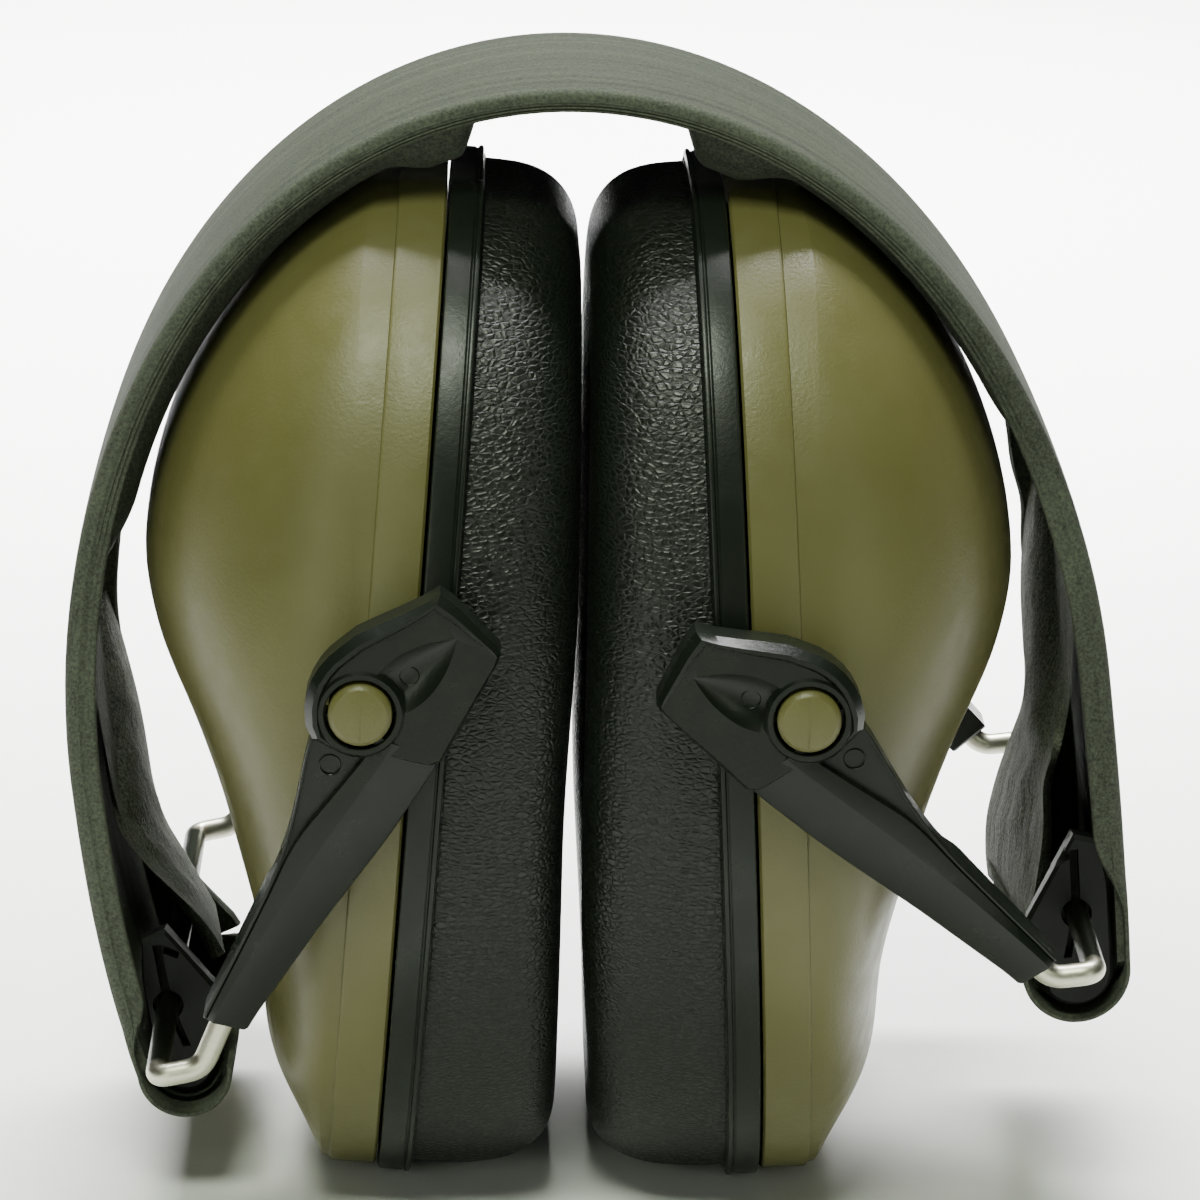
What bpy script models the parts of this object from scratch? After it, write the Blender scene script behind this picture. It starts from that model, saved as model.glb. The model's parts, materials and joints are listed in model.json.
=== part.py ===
"""Folding passive earmuffs, folded for carrying: two cups nested side by side in the headband.

Frame: metres, +Z up, the seal plates of both cups stand on Z = 0, -Y is the front, the left
cup is at -X. The headband lies in the XZ plane, turned a few degrees as it leans on the cups.
"""
import math

import bmesh
import bpy
from mathutils import Matrix, Vector

MM = 0.001
LEFT, RIGHT = -1, 1
SIDES = {"left": LEFT, "right": RIGHT}
FACES = {"front": -1, "rear": 1}
GAP = 0.3 * MM                    # running gap between neighbouring pieces

# Cups: each leans towards the other, and turns in its arms about the boss axis (along Y).
CUP_MIDDLE_X = -2.4 * MM          # plane between the two cups
BOSS_OFFSET = 21.3 * MM           # boss axis from that plane
BOSS_HEIGHT = 59.5 * MM
TOE = math.radians(3.4)
BOSS_DEPTH = 8.8 * MM             # boss axis behind the cushion side of the seal plate
BOSS_RADIUS = 3.05 * MM
BOSS_END_Y = 44.8 * MM
OUTLINE_POINTS = 40
OUTLINE_POWER = 2.3               # a rounded oval, fuller than an ellipse
PLATE_HALF_WIDTH = 38.3 * MM
PLATE_HALF_HEIGHT = 53.0 * MM
PLATE_FLAT = 0.8 * MM             # the oval is cut off this far at top and bottom
PLATE_CENTRE = -7.3 * MM          # centre of the oval, from the boss axis
PLATE_DEPTH = 3.6 * MM
PLATE_LIP = 1.5 * MM
PLATE_FLOOR = 2.4 * MM            # front of the plate inside its lip
SHELL_INSET = 0.5 * MM
SHELL_WALL = 2.0 * MM
SHELL_EDGE = 8.7 * MM             # depth where the rim band ends and the dome starts
DOME_STEP = 0.5 * MM
DOME_POWER = 2.3
# Dome depth along the middle of the cup: (height from the boss axis, depth), millimetres.
DOME_PROFILE = [
    (-59.5, 9.0), (-55.5, 10.6), (-51.5, 12.4), (-47.5, 15.0), (-44.5, 16.6), (-40.0, 16.9), (-34.0, 17.5),
    (-29.0, 18.9), (-24.0, 20.7), (-17.5, 22.9), (-9.7, 26.4), (-3.0, 30.1), (4.0, 32.0), (11.0, 31.6),
    (17.0, 30.4), (23.0, 28.4), (30.0, 25.0), (36.0, 20.8), (41.0, 16.2), (44.6, 10.5),
]

# Cushions: a wedge, pressed thin where the two touch.
PAD_INSET = 0.9 * MM
PAD_WIDTH = 17.0 * MM
PAD_SKIN = 0.9 * MM
PAD_GAP_HEIGHT = 12.0 * MM        # below this height the two faces part
PAD_GAP_LOW = 1.1 * MM

# Arms: along the axis from boss to tip (s) and across it (t), millimetres.
ARM_HEAD = [(-13.4, 3.4), (-12.9, 5.0), (-10.6, 10.1), (-1.8, 9.4), (3.6, 8.8), (9.0, 7.6), (9.0, -2.4),
            (4.4, -3.9), (1.6, -5.0), (-1.2, -5.4), (-4.0, -4.8), (-6.9, -3.2), (-10.4, 0.2)]
ARM_STEM = [(4.0, 8.6, -3.6), (11.0, 7.4, -2.1), (18.5, 5.7, -1.7), (21.3, 5.0, -1.7), (35.4, 2.3, -2.2)]
ARM_LENGTH = 35.4 * MM
ARM_HEAD_Y = (39.9 * MM, 44.4 * MM)
# |y| of the stem's inner face at its inner edge and under the bore, and of its outer face.
ARM_STEM_Y = [(40.1, 40.1, 44.1), (39.0, 39.0, 43.4), (38.8, 38.8, 42.7), (37.8, 35.5, 42.4), (35.5, 35.5, 40.6)]
ARM_HOLE = 3.4 * MM
BORE_DEPTH = 13.6 * MM

# Wire yokes: crossbar through the headband's end, a crank and a leg in each arm.
WIRE_RADIUS = 1.15 * MM
WIRE_Y = 37.5 * MM
CRANK = 4.5 * MM
CRANK_ANGLE = math.radians(56.0)
LEG_INSIDE = 13.2 * MM            # leg beyond the crank
LEG_ANGLE = {LEFT: math.radians(68.4), RIGHT: math.radians(48.4)}
REACH = {LEFT: 41.3 * MM, RIGHT: 37.3 * MM}   # crank to boss, as the arms are set

# Headband, in its own plane (u along, v up), about the middle of the line between its hooks.
BAND_MIDDLE = (3.4 * MM, 20.0 * MM)
BAND_LEAN = math.radians(7.7)
ARCH_FOOT = 30.5 * MM             # half-ellipse above this height
ARCH_TOP = 95.1 * MM
ARCH_HALF = {LEFT: 52.6 * MM, RIGHT: 51.6 * MM}
HOOK_HALF = {LEFT: 50.1 * MM, RIGHT: 50.9 * MM}
LEG_POWER = 2.5                   # how late the legs draw in from the arch to the hook
HOOK_RADIUS = {LEFT: 4.8 * MM, RIGHT: 5.5 * MM}
HOOK_TURN = math.radians(168.0)
CROWN_HALF = 8.0 * MM             # the legs bend at the ends of the crown piece
COVER = 1.2 * MM
COVER_CHAMFER = 0.9 * MM
HALF_WIDTH_TOP = 16.2 * MM
HALF_WIDTH_END = 20.5 * MM
FLANGE_TOP = 2.3 * MM
FLANGE_LEG = 3.1 * MM
POD_TOP = 13.0 * MM
FLANGE_OPEN = 1.3 * MM
OPEN_TOP = {LEFT: 8.5 * MM, RIGHT: 9.5 * MM}      # the front flange is cut away below this
SPRING = 0.7 * MM
SPRING_END = 17.0 * MM
BORE_RADIUS = WIRE_RADIUS + GAP
INSERT_HALF = HALF_WIDTH_END - COVER - GAP
SLOT_WIDTH = 0.8 * MM

COLOURS = {
    "cover": ((0.085, 0.095, 0.075), 0.85, 0.0),
    "spring": ((0.02, 0.022, 0.02), 0.5, 0.0),
    "insert": ((0.015, 0.017, 0.015), 0.4, 0.0),
    "wire": ((0.62, 0.61, 0.55), 0.3, 1.0),
    "arm": ((0.018, 0.021, 0.018), 0.35, 0.0),
    "shell": ((0.125, 0.115, 0.035), 0.5, 0.0),
    "plate": ((0.02, 0.023, 0.021), 0.4, 0.0),
    "pad": ((0.016, 0.018, 0.016), 0.45, 0.0),
    "foam": ((0.07, 0.07, 0.075), 0.95, 0.0),
}


def clear_scene():
    for obj in list(bpy.data.objects):
        bpy.data.objects.remove(obj, do_unlink=True)


def new_collection(name):
    collection = bpy.data.collections.new(name)
    bpy.context.scene.collection.children.link(collection)
    return collection


def material(kind):
    """The Principled material of one kind of piece, made once."""
    name = "earmuff_" + kind
    found = bpy.data.materials.get(name)
    if found:
        return found
    colour, roughness, metallic = COLOURS[kind]
    made = bpy.data.materials.new(name)
    made.use_nodes = True
    shader = made.node_tree.nodes["Principled BSDF"]
    shader.inputs["Base Color"].default_value = (*colour, 1.0)
    shader.inputs["Roughness"].default_value = roughness
    shader.inputs["Metallic"].default_value = metallic
    return made


def add_object(name, mesh, kind, collection, matrix=None, pivot=None):
    """An object with its own copy of its kind's material; pivot is a point on its joint's axis."""
    obj = bpy.data.objects.new(name, mesh)
    own = material(kind).copy()
    own.name = name
    mesh.materials.clear()
    mesh.materials.append(own)
    if matrix is not None:
        obj.matrix_world = matrix
    if pivot is not None:
        mesh.transform(Matrix.Translation(-pivot))
        obj.location = pivot
    collection.objects.link(obj)
    mesh.shade_smooth()
    mesh.set_sharp_from_angle(angle=math.radians(35))
    return obj


def mesh_from(bm, name):
    bmesh.ops.recalc_face_normals(bm, faces=bm.faces[:])
    mesh = bpy.data.meshes.new(name)
    bm.to_mesh(mesh)
    bm.free()
    return mesh


def loft(sections, closed_path=False):
    """A bmesh skin through sections of equal length; an open path is capped at both ends."""
    bm = bmesh.new()
    rows = [[bm.verts.new(point) for point in section] for section in sections]
    count = len(rows[0])
    steps = len(rows) if closed_path else len(rows) - 1
    for i in range(steps):
        a, b = rows[i], rows[(i + 1) % len(rows)]
        for k in range(count):
            n = (k + 1) % count
            bm.faces.new((a[k], a[n], b[n], b[k]))
    if not closed_path:
        bm.faces.new(rows[0][::-1])
        bm.faces.new(rows[-1])
    return bm


def boolean(obj, cutter, operation, cutters):
    """Cut or join with another object, which stays hidden as a guide."""
    cutters.objects.link(cutter)
    cutter.hide_render = True
    cutter.display_type = "WIRE"
    modifier = obj.modifiers.new(cutter.name, "BOOLEAN")
    modifier.operation = operation
    modifier.solver = "EXACT"
    modifier.object = cutter


def cylinder(name, radius, start, end, sides=24):
    """A guide cylinder between two points."""
    start, end = Vector(start), Vector(end)
    bm = bmesh.new()
    bmesh.ops.create_cone(bm, cap_ends=True, segments=sides, radius1=radius, radius2=radius,
                          depth=(end - start).length)
    mesh = mesh_from(bm, name)
    obj = bpy.data.objects.new(name, mesh)
    turn = Vector((0, 0, 1)).rotation_difference(end - start).to_matrix().to_4x4()
    obj.matrix_world = Matrix.Translation((start + end) / 2) @ turn
    return obj


def box(name, size):
    """A guide box under the ground plane."""
    bm = bmesh.new()
    bmesh.ops.create_cube(bm, size=1.0)
    bmesh.ops.scale(bm, vec=size, verts=bm.verts)
    obj = bpy.data.objects.new(name, mesh_from(bm, name))
    obj.location = (0, 0, -size[2] / 2)
    return obj


# Cups

def cup_matrix(side):
    """Cup frame: origin on the boss axis, X across the cup, Z up the seal plate."""
    place = Matrix.Translation((CUP_MIDDLE_X + side * BOSS_OFFSET, 0, BOSS_HEIGHT))
    return place @ Matrix.Rotation(-side * TOE, 4, "Y")


def cup_point(side, depth, y, z):
    return Vector((side * (depth - BOSS_DEPTH), y, z))


def oval(inset=0.0):
    """The plate's outline, moved in along its normal, as (y, z) round the cup."""
    points = []
    for i in range(OUTLINE_POINTS):
        a = 2 * math.pi * (i + 0.5) / OUTLINE_POINTS
        c, s = math.cos(a), math.sin(a)
        y = PLATE_HALF_WIDTH * math.copysign(abs(c) ** (2 / OUTLINE_POWER), c)
        z = PLATE_HALF_HEIGHT * math.copysign(abs(s) ** (2 / OUTLINE_POWER), s)
        n = Vector((math.copysign(abs(y / PLATE_HALF_WIDTH) ** (OUTLINE_POWER - 1), y) / PLATE_HALF_WIDTH,
                    math.copysign(abs(z / PLATE_HALF_HEIGHT) ** (OUTLINE_POWER - 1), z) / PLATE_HALF_HEIGHT))
        n.normalize()
        limit = PLATE_HALF_HEIGHT - PLATE_FLAT - inset
        z = max(-limit, min(limit, z - n.y * inset))
        points.append((y - n.x * inset, z + PLATE_CENTRE))
    return points


def sweep_oval(name, side, profile, kind, collection):
    """A closed ring: profile(y, z) gives (inset, depth) pairs at each place round the cup."""
    base = oval()
    count = len(profile(*base[0]))
    rings = [oval(profile(*base[0])[k][0]) for k in range(count)]
    sections = []
    for i, (y, z) in enumerate(base):
        pairs = profile(y, z)
        sections.append([cup_point(side, pairs[k][1], *rings[k][i]) for k in range(count)])
    mesh = mesh_from(loft(sections, closed_path=True), name)
    return add_object(name, mesh, kind, collection, cup_matrix(side))


def smooth_profile(z):
    """Dome depth along the middle, through DOME_PROFILE with a Catmull-Rom curve."""
    zs = [p[0] * MM for p in DOME_PROFILE]
    ds = [p[1] * MM for p in DOME_PROFILE]
    z = max(zs[0], min(zs[-1], z))
    i = max(k for k in range(len(zs) - 1) if zs[k] <= z)
    t = (z - zs[i]) / (zs[i + 1] - zs[i])
    slopes = []
    for k in (i, i + 1):
        low, high = max(k - 1, 0), min(k + 1, len(zs) - 1)
        slopes.append((ds[high] - ds[low]) / (zs[high] - zs[low]) * (zs[i + 1] - zs[i]))
    h0 = 2 * t ** 3 - 3 * t ** 2 + 1
    h1 = t ** 3 - 2 * t ** 2 + t
    h2 = -2 * t ** 3 + 3 * t ** 2
    h3 = t ** 3 - t ** 2
    return h0 * ds[i] + h1 * slopes[0] + h2 * ds[i + 1] + h3 * slopes[1]


def oval_half_width(z):
    """Half width of the plate's oval at a height from the boss axis."""
    r = min(1.0, abs(z - PLATE_CENTRE) / PLATE_HALF_HEIGHT)
    return PLATE_HALF_WIDTH * (1 - r ** OUTLINE_POWER) ** (1 / OUTLINE_POWER)


def dome_depth(y, z):
    """Depth of the cup's outer surface over the point (y, z)."""
    half = max(oval_half_width(z) - SHELL_INSET - DOME_STEP, 1e-5)
    r = min(1.0, abs(y) / half)
    rise = max(smooth_profile(z) - SHELL_EDGE, 0.0)
    return SHELL_EDGE + rise * (1 - r ** DOME_POWER) ** (1 / DOME_POWER)


def dome_rings(scales, inset):
    """Rings of (y, z) from the rim in to the middle of the dome."""
    base = oval(inset)
    centre = (0.0, 2 * MM)
    return [[(centre[0] + (y - centre[0]) * s, centre[1] + (z - centre[1]) * s) for y, z in base]
            for s in scales]


def cup_shell(label, side, collection, cutters):
    """Rim band and dome in one wall, with the two pivot bosses moulded on."""
    name = "cup_shell_" + label
    rim = oval(SHELL_INSET)
    sections = [[cup_point(side, PLATE_DEPTH + GAP, y, z) for y, z in rim],
                [cup_point(side, SHELL_EDGE, y, z) for y, z in rim]]
    for ring in dome_rings((1.0, 0.975, 0.93, 0.86, 0.76, 0.63, 0.48, 0.3, 0.12), SHELL_INSET + DOME_STEP):
        sections.append([cup_point(side, dome_depth(y, z), y, z) for y, z in ring])
    bm = loft(sections)
    bm.faces.ensure_lookup_table()
    opening = [f for f in bm.faces if len(f.verts) == OUTLINE_POINTS and all(v in f.verts for v in bm.verts[:3])]
    bmesh.ops.recalc_face_normals(bm, faces=bm.faces[:])
    bmesh.ops.delete(bm, geom=opening, context="FACES_ONLY")
    mesh = bpy.data.meshes.new(name)
    bm.to_mesh(mesh)
    bm.free()
    shell = add_object(name, mesh, "shell", collection, cup_matrix(side))
    wall = shell.modifiers.new("wall", "SOLIDIFY")
    wall.thickness = SHELL_WALL
    wall.offset = -1
    for face, sign in FACES.items():
        start = cup_matrix(side) @ Vector((0, sign * (PLATE_HALF_WIDTH - 1.6 * MM), 0))
        end = cup_matrix(side) @ Vector((0, sign * BOSS_END_Y, 0))
        boolean(shell, cylinder(f"boss_{face}_{label}", BOSS_RADIUS, start, end), "UNION", cutters)
    return shell


def seal_plate(label, side, collection, cutters):
    """Black plate between cup and cushion, its lip round the cushion's frame, its foot cut level."""
    inner = PAD_INSET + PAD_WIDTH

    def profile(y, z):
        return [(0.0, PLATE_DEPTH), (0.0, 0.5 * MM), (0.4 * MM, GAP), (PLATE_LIP, GAP),
                (PLATE_LIP, PLATE_FLOOR), (inner, PLATE_FLOOR), (inner, PLATE_DEPTH)]
    plate = sweep_oval("seal_plate_" + label, side, profile, "plate", collection)
    boolean(plate, box("ground_" + label, (60 * MM, 60 * MM, 10 * MM)), "DIFFERENCE", cutters)
    return plate


def cushion_frame(label, side, collection):
    """Stiff frame that the cushion's cover is welded to; it snaps into the seal plate."""
    outer = PLATE_LIP + GAP
    inner = PAD_INSET + PAD_WIDTH - 0.6 * MM

    def profile(y, z):
        return [(outer, PLATE_FLOOR - GAP), (outer, GAP), (inner, GAP), (inner, PLATE_FLOOR - GAP)]
    return sweep_oval("cushion_frame_" + label, side, profile, "plate", collection)


def cushion_thickness(z):
    """Thickness from the seal plate to the cushion's face at a height from the boss axis."""
    full = (BOSS_OFFSET / math.cos(TOE) - BOSS_DEPTH) - z * math.tan(TOE) - GAP
    part = max(0.0, min(1.0, (PAD_GAP_HEIGHT - z) / (30 * MM)))
    return full - PAD_GAP_LOW * part * part * (3 - 2 * part)


def pillow(inset, width, crown, steps=9):
    """A pillow's half-round section: (inset, share of thickness) from outside to inside."""
    points = []
    for i in range(steps):
        a = math.pi * i / (steps - 1)
        across = math.copysign(abs(math.cos(a)) ** (2 / crown), math.cos(a))
        points.append((inset + width / 2 * (1 - across), math.sin(a) ** (2 / crown)))
    return points


def cushion_cover(label, side, collection):
    """Vinyl cover round the foam, open at its back where the frame closes it."""
    outer = pillow(PAD_INSET, PAD_WIDTH, 3.0)
    inner = pillow(PAD_INSET + PAD_SKIN, PAD_WIDTH - 2 * PAD_SKIN, 3.0)

    def profile(y, z):
        thick = cushion_thickness(z)
        skin = [(inset, -share * thick) for inset, share in outer]
        lining = [(inset, -share * (thick - PAD_SKIN)) for inset, share in inner]
        return skin + lining[::-1]
    return sweep_oval("cushion_cover_" + label, side, profile, "pad", collection)


def cushion_foam(label, side, collection):
    """Foam ring inside the cushion's cover."""
    margin = PAD_SKIN + GAP
    core = pillow(PAD_INSET + margin, PAD_WIDTH - 2 * margin, 3.0, 7)

    def profile(y, z):
        thick = cushion_thickness(z) - margin
        return [(inset, -share * thick) for inset, share in core]
    return sweep_oval("cushion_foam_" + label, side, profile, "foam", collection)


def cup_foam(label, side, collection):
    """Sound-absorbing foam pad that lines the cup."""
    back = dome_rings((0.99, 0.9, 0.7, 0.4, 0.1), SHELL_INSET + SHELL_WALL + 4 * MM)
    front_depth = PLATE_DEPTH + 1.5 * MM
    sections = [[cup_point(side, front_depth, y * s, z * s) for y, z in back[0]] for s in (0.1, 0.6, 1.0)]
    for ring in back:
        sections.append([cup_point(side, front_depth + 0.62 * (dome_depth(y, z) - front_depth), y, z)
                         for y, z in ring])
    mesh = mesh_from(loft(sections), "cup_foam_" + label)
    return add_object("cup_foam_" + label, mesh, "foam", collection, cup_matrix(side))


# Arms and wires

def boss_centre(side):
    return Vector((CUP_MIDDLE_X + side * BOSS_OFFSET, 0, BOSS_HEIGHT))


def arm_axes(side):
    """Unit vectors along the arm, from boss to tip, and across it, towards the cushions."""
    a = LEG_ANGLE[side]
    along = Vector((side * math.cos(a), 0, -math.sin(a)))
    across = Vector((-side * math.sin(a), 0, -math.cos(a)))
    return along, across


def arm_point(side, s, t, y):
    along, across = arm_axes(side)
    point = boss_centre(side) + along * s + across * t
    point.y = y
    return point


def arm(face, label, side, collection, cutters):
    """Head plate round the boss, and a faceted stem with a blind bore for the wire."""
    name = f"arm_{face}_{label}"
    sign = FACES[face]
    low, high = ARM_HEAD_Y
    chamfer = 0.8 * MM
    centre = Vector((-2.0, 2.0))
    sections = []
    for y, shrink in ((low, 0.0), (high - chamfer, 0.0), (high, chamfer)):
        section = []
        for s, t in ARM_HEAD:
            inward = (centre - Vector((s, t))).normalized() * shrink
            section.append(arm_point(side, s * MM + inward.x, t * MM + inward.y, sign * y))
        sections.append(section)
    head = add_object(name, mesh_from(loft(sections), name), "arm", collection, pivot=boss_centre(side))
    stem_sections = []
    for (s, inner, outer), (edge, near, far) in zip(ARM_STEM, ARM_STEM_Y):
        ridge = outer + 0.42 * (inner - outer)
        corners = [(inner, edge), (inner, far - 1.4), (inner - 1.0, far - 0.5), (ridge, far),
                   (outer + 0.5, far - 0.6), (outer, far - 1.3), (outer, near), (min(2.0, inner - 0.5), near)]
        stem_sections.append([arm_point(side, s * MM, t * MM, sign * y * MM) for t, y in corners])
    stem = bpy.data.objects.new("stem_" + name, mesh_from(loft(stem_sections), "stem_" + name))
    boolean(head, stem, "UNION", cutters)
    hole_ends = [arm_point(side, 0, 0, sign * y) for y in (low - 2 * MM, high + 2 * MM)]
    boolean(head, cylinder("hole_" + name, ARM_HOLE, *hole_ends, sides=32), "DIFFERENCE", cutters)
    bore_ends = [arm_point(side, s, 0, sign * WIRE_Y) for s in (ARM_LENGTH - BORE_DEPTH, ARM_LENGTH + 2 * MM)]
    boolean(head, cylinder("bore_" + name, BORE_RADIUS, *bore_ends, sides=16), "DIFFERENCE", cutters)
    return head


def wire_corner(side):
    """The bend between crank and leg, and the crossbar's axis, in the XZ plane."""
    along, _ = arm_axes(side)
    bend = boss_centre(side) + along * REACH[side]
    a = LEG_ANGLE[side] - CRANK_ANGLE
    axis = bend + Vector((side * math.cos(a), 0, -math.sin(a))) * CRANK
    return bend, axis


def rounded_path(corners, radius, steps=4):
    """A polyline with its inner corners rounded by short arcs."""
    points = [corners[0]]
    for before, here, after in zip(corners, corners[1:], corners[2:]):
        a = here + (before - here).normalized() * radius
        b = here + (after - here).normalized() * radius
        for i in range(steps + 1):
            t = i / steps
            points.append(a * (1 - t) ** 2 + here * 2 * t * (1 - t) + b * t ** 2)
    points.append(corners[-1])
    return points


def wire_yoke(label, side, collection):
    """One bent wire: leg, crank, crossbar, crank, leg."""
    along, _ = arm_axes(side)
    bend, axis = wire_corner(side)
    leg_end = bend - along * LEG_INSIDE
    front = [Vector((p.x, -WIRE_Y, p.z)) for p in (leg_end, bend, axis)]
    rear = [Vector((p.x, WIRE_Y, p.z)) for p in (axis, bend, leg_end)]
    curve = bpy.data.curves.new("wire_yoke_" + label, "CURVE")
    curve.dimensions = "3D"
    curve.bevel_depth = WIRE_RADIUS
    curve.bevel_resolution = 2
    curve.use_fill_caps = True
    points = [p - axis for p in rounded_path(front + rear, 1.9 * MM)]
    spline = curve.splines.new("POLY")
    spline.points.add(len(points) - 1)
    for target, point in zip(spline.points, points):
        target.co = (*point, 1.0)
    own = material("wire").copy()
    own.name = "wire_yoke_" + label
    curve.materials.append(own)
    wire = bpy.data.objects.new("wire_yoke_" + label, curve)
    wire.location = axis
    collection.objects.link(wire)
    return wire


# Headband

def band_to_world(u, v, y):
    c, s = math.cos(BAND_LEAN), math.sin(BAND_LEAN)
    return Vector((BAND_MIDDLE[0] + c * u - s * v, y, BAND_MIDDLE[1] + s * u + c * v))


def blend(low, high, x, start, end):
    """Smooth change from low at start to high at end."""
    t = max(0.0, min(1.0, (x - start) / (end - start)))
    t = t * t * (3 - 2 * t)
    return low + (high - low) * t


def arch_point(side, a):
    """The outer surface on the half-ellipse; a is 0 at the crown and 90 degrees at its foot."""
    return side * ARCH_HALF[side] * math.sin(a), ARCH_FOOT + (ARCH_TOP - ARCH_FOOT) * math.cos(a)


def band_path(side):
    """Outer surface from the crown piece's end round the hook: (u, v, outward normal, v clamped)."""
    start = math.asin((CROWN_HALF + GAP) / ARCH_HALF[side])
    points = [arch_point(side, start + (math.pi / 2 - start) * i / 20) for i in range(21)]
    for i in range(1, 13):
        t = i / 12
        half = ARCH_HALF[side] + (HOOK_HALF[side] - ARCH_HALF[side]) * t ** LEG_POWER
        points.append((side * half, ARCH_FOOT * (1 - t)))
    radius = HOOK_RADIUS[side]
    centre = side * (HOOK_HALF[side] - radius)
    hook = []
    for i in range(1, 11):
        a = HOOK_TURN * i / 10
        hook.append((centre + side * radius * math.cos(a), -radius * math.sin(a)))
    points += hook
    path = []
    for i, (u, v) in enumerate(points):
        before, after = points[max(i - 1, 0)], points[min(i + 1, len(points) - 1)]
        along = Vector((after[0] - before[0], after[1] - before[1])).normalized()
        normal = Vector((-along.y, along.x)) * side
        path.append((u, v, normal, i >= len(points) - len(hook)))
    return path


def crown_path():
    limit = math.asin(CROWN_HALF / ARCH_HALF[RIGHT])
    path = []
    for i in range(7):
        a = limit * (i / 3 - 1)
        u, v = arch_point(RIGHT, a)
        rise = ARCH_TOP - ARCH_FOOT
        normal = Vector((u / ARCH_HALF[RIGHT] ** 2, (v - ARCH_FOOT) / rise ** 2)).normalized()
        path.append((u, v, normal, False))
    return path


def flanges(side, v, in_hook):
    """Depth of the front and rear flange at a height; the rear one closes the pod."""
    radius = HOOK_RADIUS[side]
    if in_hook:
        return FLANGE_OPEN, radius - 0.35 * MM
    leg = blend(FLANGE_LEG, FLANGE_TOP, v, 45 * MM, 90 * MM)
    front = blend(FLANGE_OPEN, leg, v, OPEN_TOP[side] - 0.5 * MM, OPEN_TOP[side] + 0.5 * MM)
    return front, blend(2 * radius - 0.3 * MM, leg, v, 0, POD_TOP)


def cover_section(w, front, rear):
    """Channel section (y, depth under the outer surface), twelve corners."""
    c, k = COVER_CHAMFER, 0.4 * COVER_CHAMFER
    i = w - COVER
    return [(-w, front), (-w, c), (c - w, 0.0), (w - c, 0.0), (w, c), (w, rear), (i, rear),
            (i, COVER + k), (i - k, COVER), (k - i, COVER), (-i, COVER + k), (-i, front)]


def strip(path, section):
    """Loft a section along the band: section(v, in_hook) gives (y, depth) pairs."""
    rows = []
    for u, v, normal, in_hook in path:
        rows.append([band_to_world(u - normal.x * d, v - normal.y * d, y) for y, d in section(v, in_hook)])
    return loft(rows)


def half_width(v):
    return blend(HALF_WIDTH_END, HALF_WIDTH_TOP, v, 15 * MM, 85 * MM)


def flex_axis(side):
    """Where a leg bends from the crown piece: the end of the crown's outer surface."""
    return band_to_world(*arch_point(side, math.asin(CROWN_HALF / ARCH_HALF[side])), 0)


def band_cover(name, path, collection, side=LEFT, pivot=None):
    """Foam-skinned channel: web, flanges and, on the legs, the hooked pod."""
    def section(v, in_hook):
        return cover_section(half_width(v), *flanges(side, v, in_hook))
    return add_object(name, mesh_from(strip(path, section), name), "cover", collection, pivot=pivot)


def band_spring(name, path, collection, pivot=None):
    """Flat spring that lies in the channel under the cover."""
    top = COVER + GAP

    def section(v, in_hook):
        w = half_width(v) - COVER - 1.0 * MM
        return [(-w, top), (w, top), (w, top + SPRING), (-w, top + SPRING)]
    kept = [p for p in path if p[1] > SPRING_END]
    return add_object(name, mesh_from(strip(kept, section), name), "spring", collection, pivot=pivot)


def pivot_insert(label, side, collection, cutters):
    """Plastic block in the pod: bore for the crossbar, and a slot that lets it snap in."""
    name = "pivot_insert_" + label
    _, axis = wire_corner(side)
    wall = COVER + GAP
    out = HOOK_HALF[side] - wall - 0.2 * MM
    centre = HOOK_HALF[side] - HOOK_RADIUS[side]
    round_radius = HOOK_RADIUS[side] - wall - 0.2 * MM
    outline = [(out - 2.6 * MM, 14.8 * MM), (out - 0.5 * MM, 14.2 * MM), (out, 8 * MM)]
    for i in range(9):
        a = math.pi * 0.86 * i / 8
        outline.append((centre + round_radius * math.cos(a), -round_radius * math.sin(a)))
    outline.append((out - 7.4 * MM, 4.2 * MM))
    curve = bpy.data.curves.new(name, "CURVE")
    curve.dimensions = "2D"
    curve.fill_mode = "BOTH"
    curve.extrude = INSERT_HALF
    spline = curve.splines.new("POLY")
    spline.points.add(len(outline) - 1)
    spline.use_cyclic_u = True
    origin = band_to_world(side * centre, 0, 0)
    for target, (u, v) in zip(spline.points, outline):
        point = band_to_world(side * u, v, 0) - origin
        target.co = (point.x, point.z, 0, 1)
    guide = bpy.data.objects.new("outline_" + name, curve)
    guide.matrix_world = Matrix.Translation(origin) @ Matrix.Rotation(math.pi / 2, 4, "X")
    collection.objects.link(guide)
    block = mesh_of_curve(guide, name, "insert", collection)
    bore = [Vector((axis.x, y, axis.z)) for y in (-INSERT_HALF - MM, INSERT_HALF + MM)]
    boolean(block, cylinder("bore_" + name, BORE_RADIUS, *bore, sides=16), "DIFFERENCE", cutters)
    slot = bmesh.new()
    bmesh.ops.create_cube(slot, size=1.0)
    bmesh.ops.scale(slot, vec=(SLOT_WIDTH, 2 * INSERT_HALF + 2 * MM, 6.6 * MM), verts=slot.verts)
    cutter = bpy.data.objects.new("slot_" + name, mesh_from(slot, "slot_" + name))
    place = axis + (band_to_world(0, 4.1 * MM, 0) - band_to_world(0, 0, 0))
    cutter.matrix_world = Matrix.Translation(place) @ Matrix.Rotation(-BAND_LEAN, 4, "Y")
    boolean(block, cutter, "DIFFERENCE", cutters)
    return block


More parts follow.
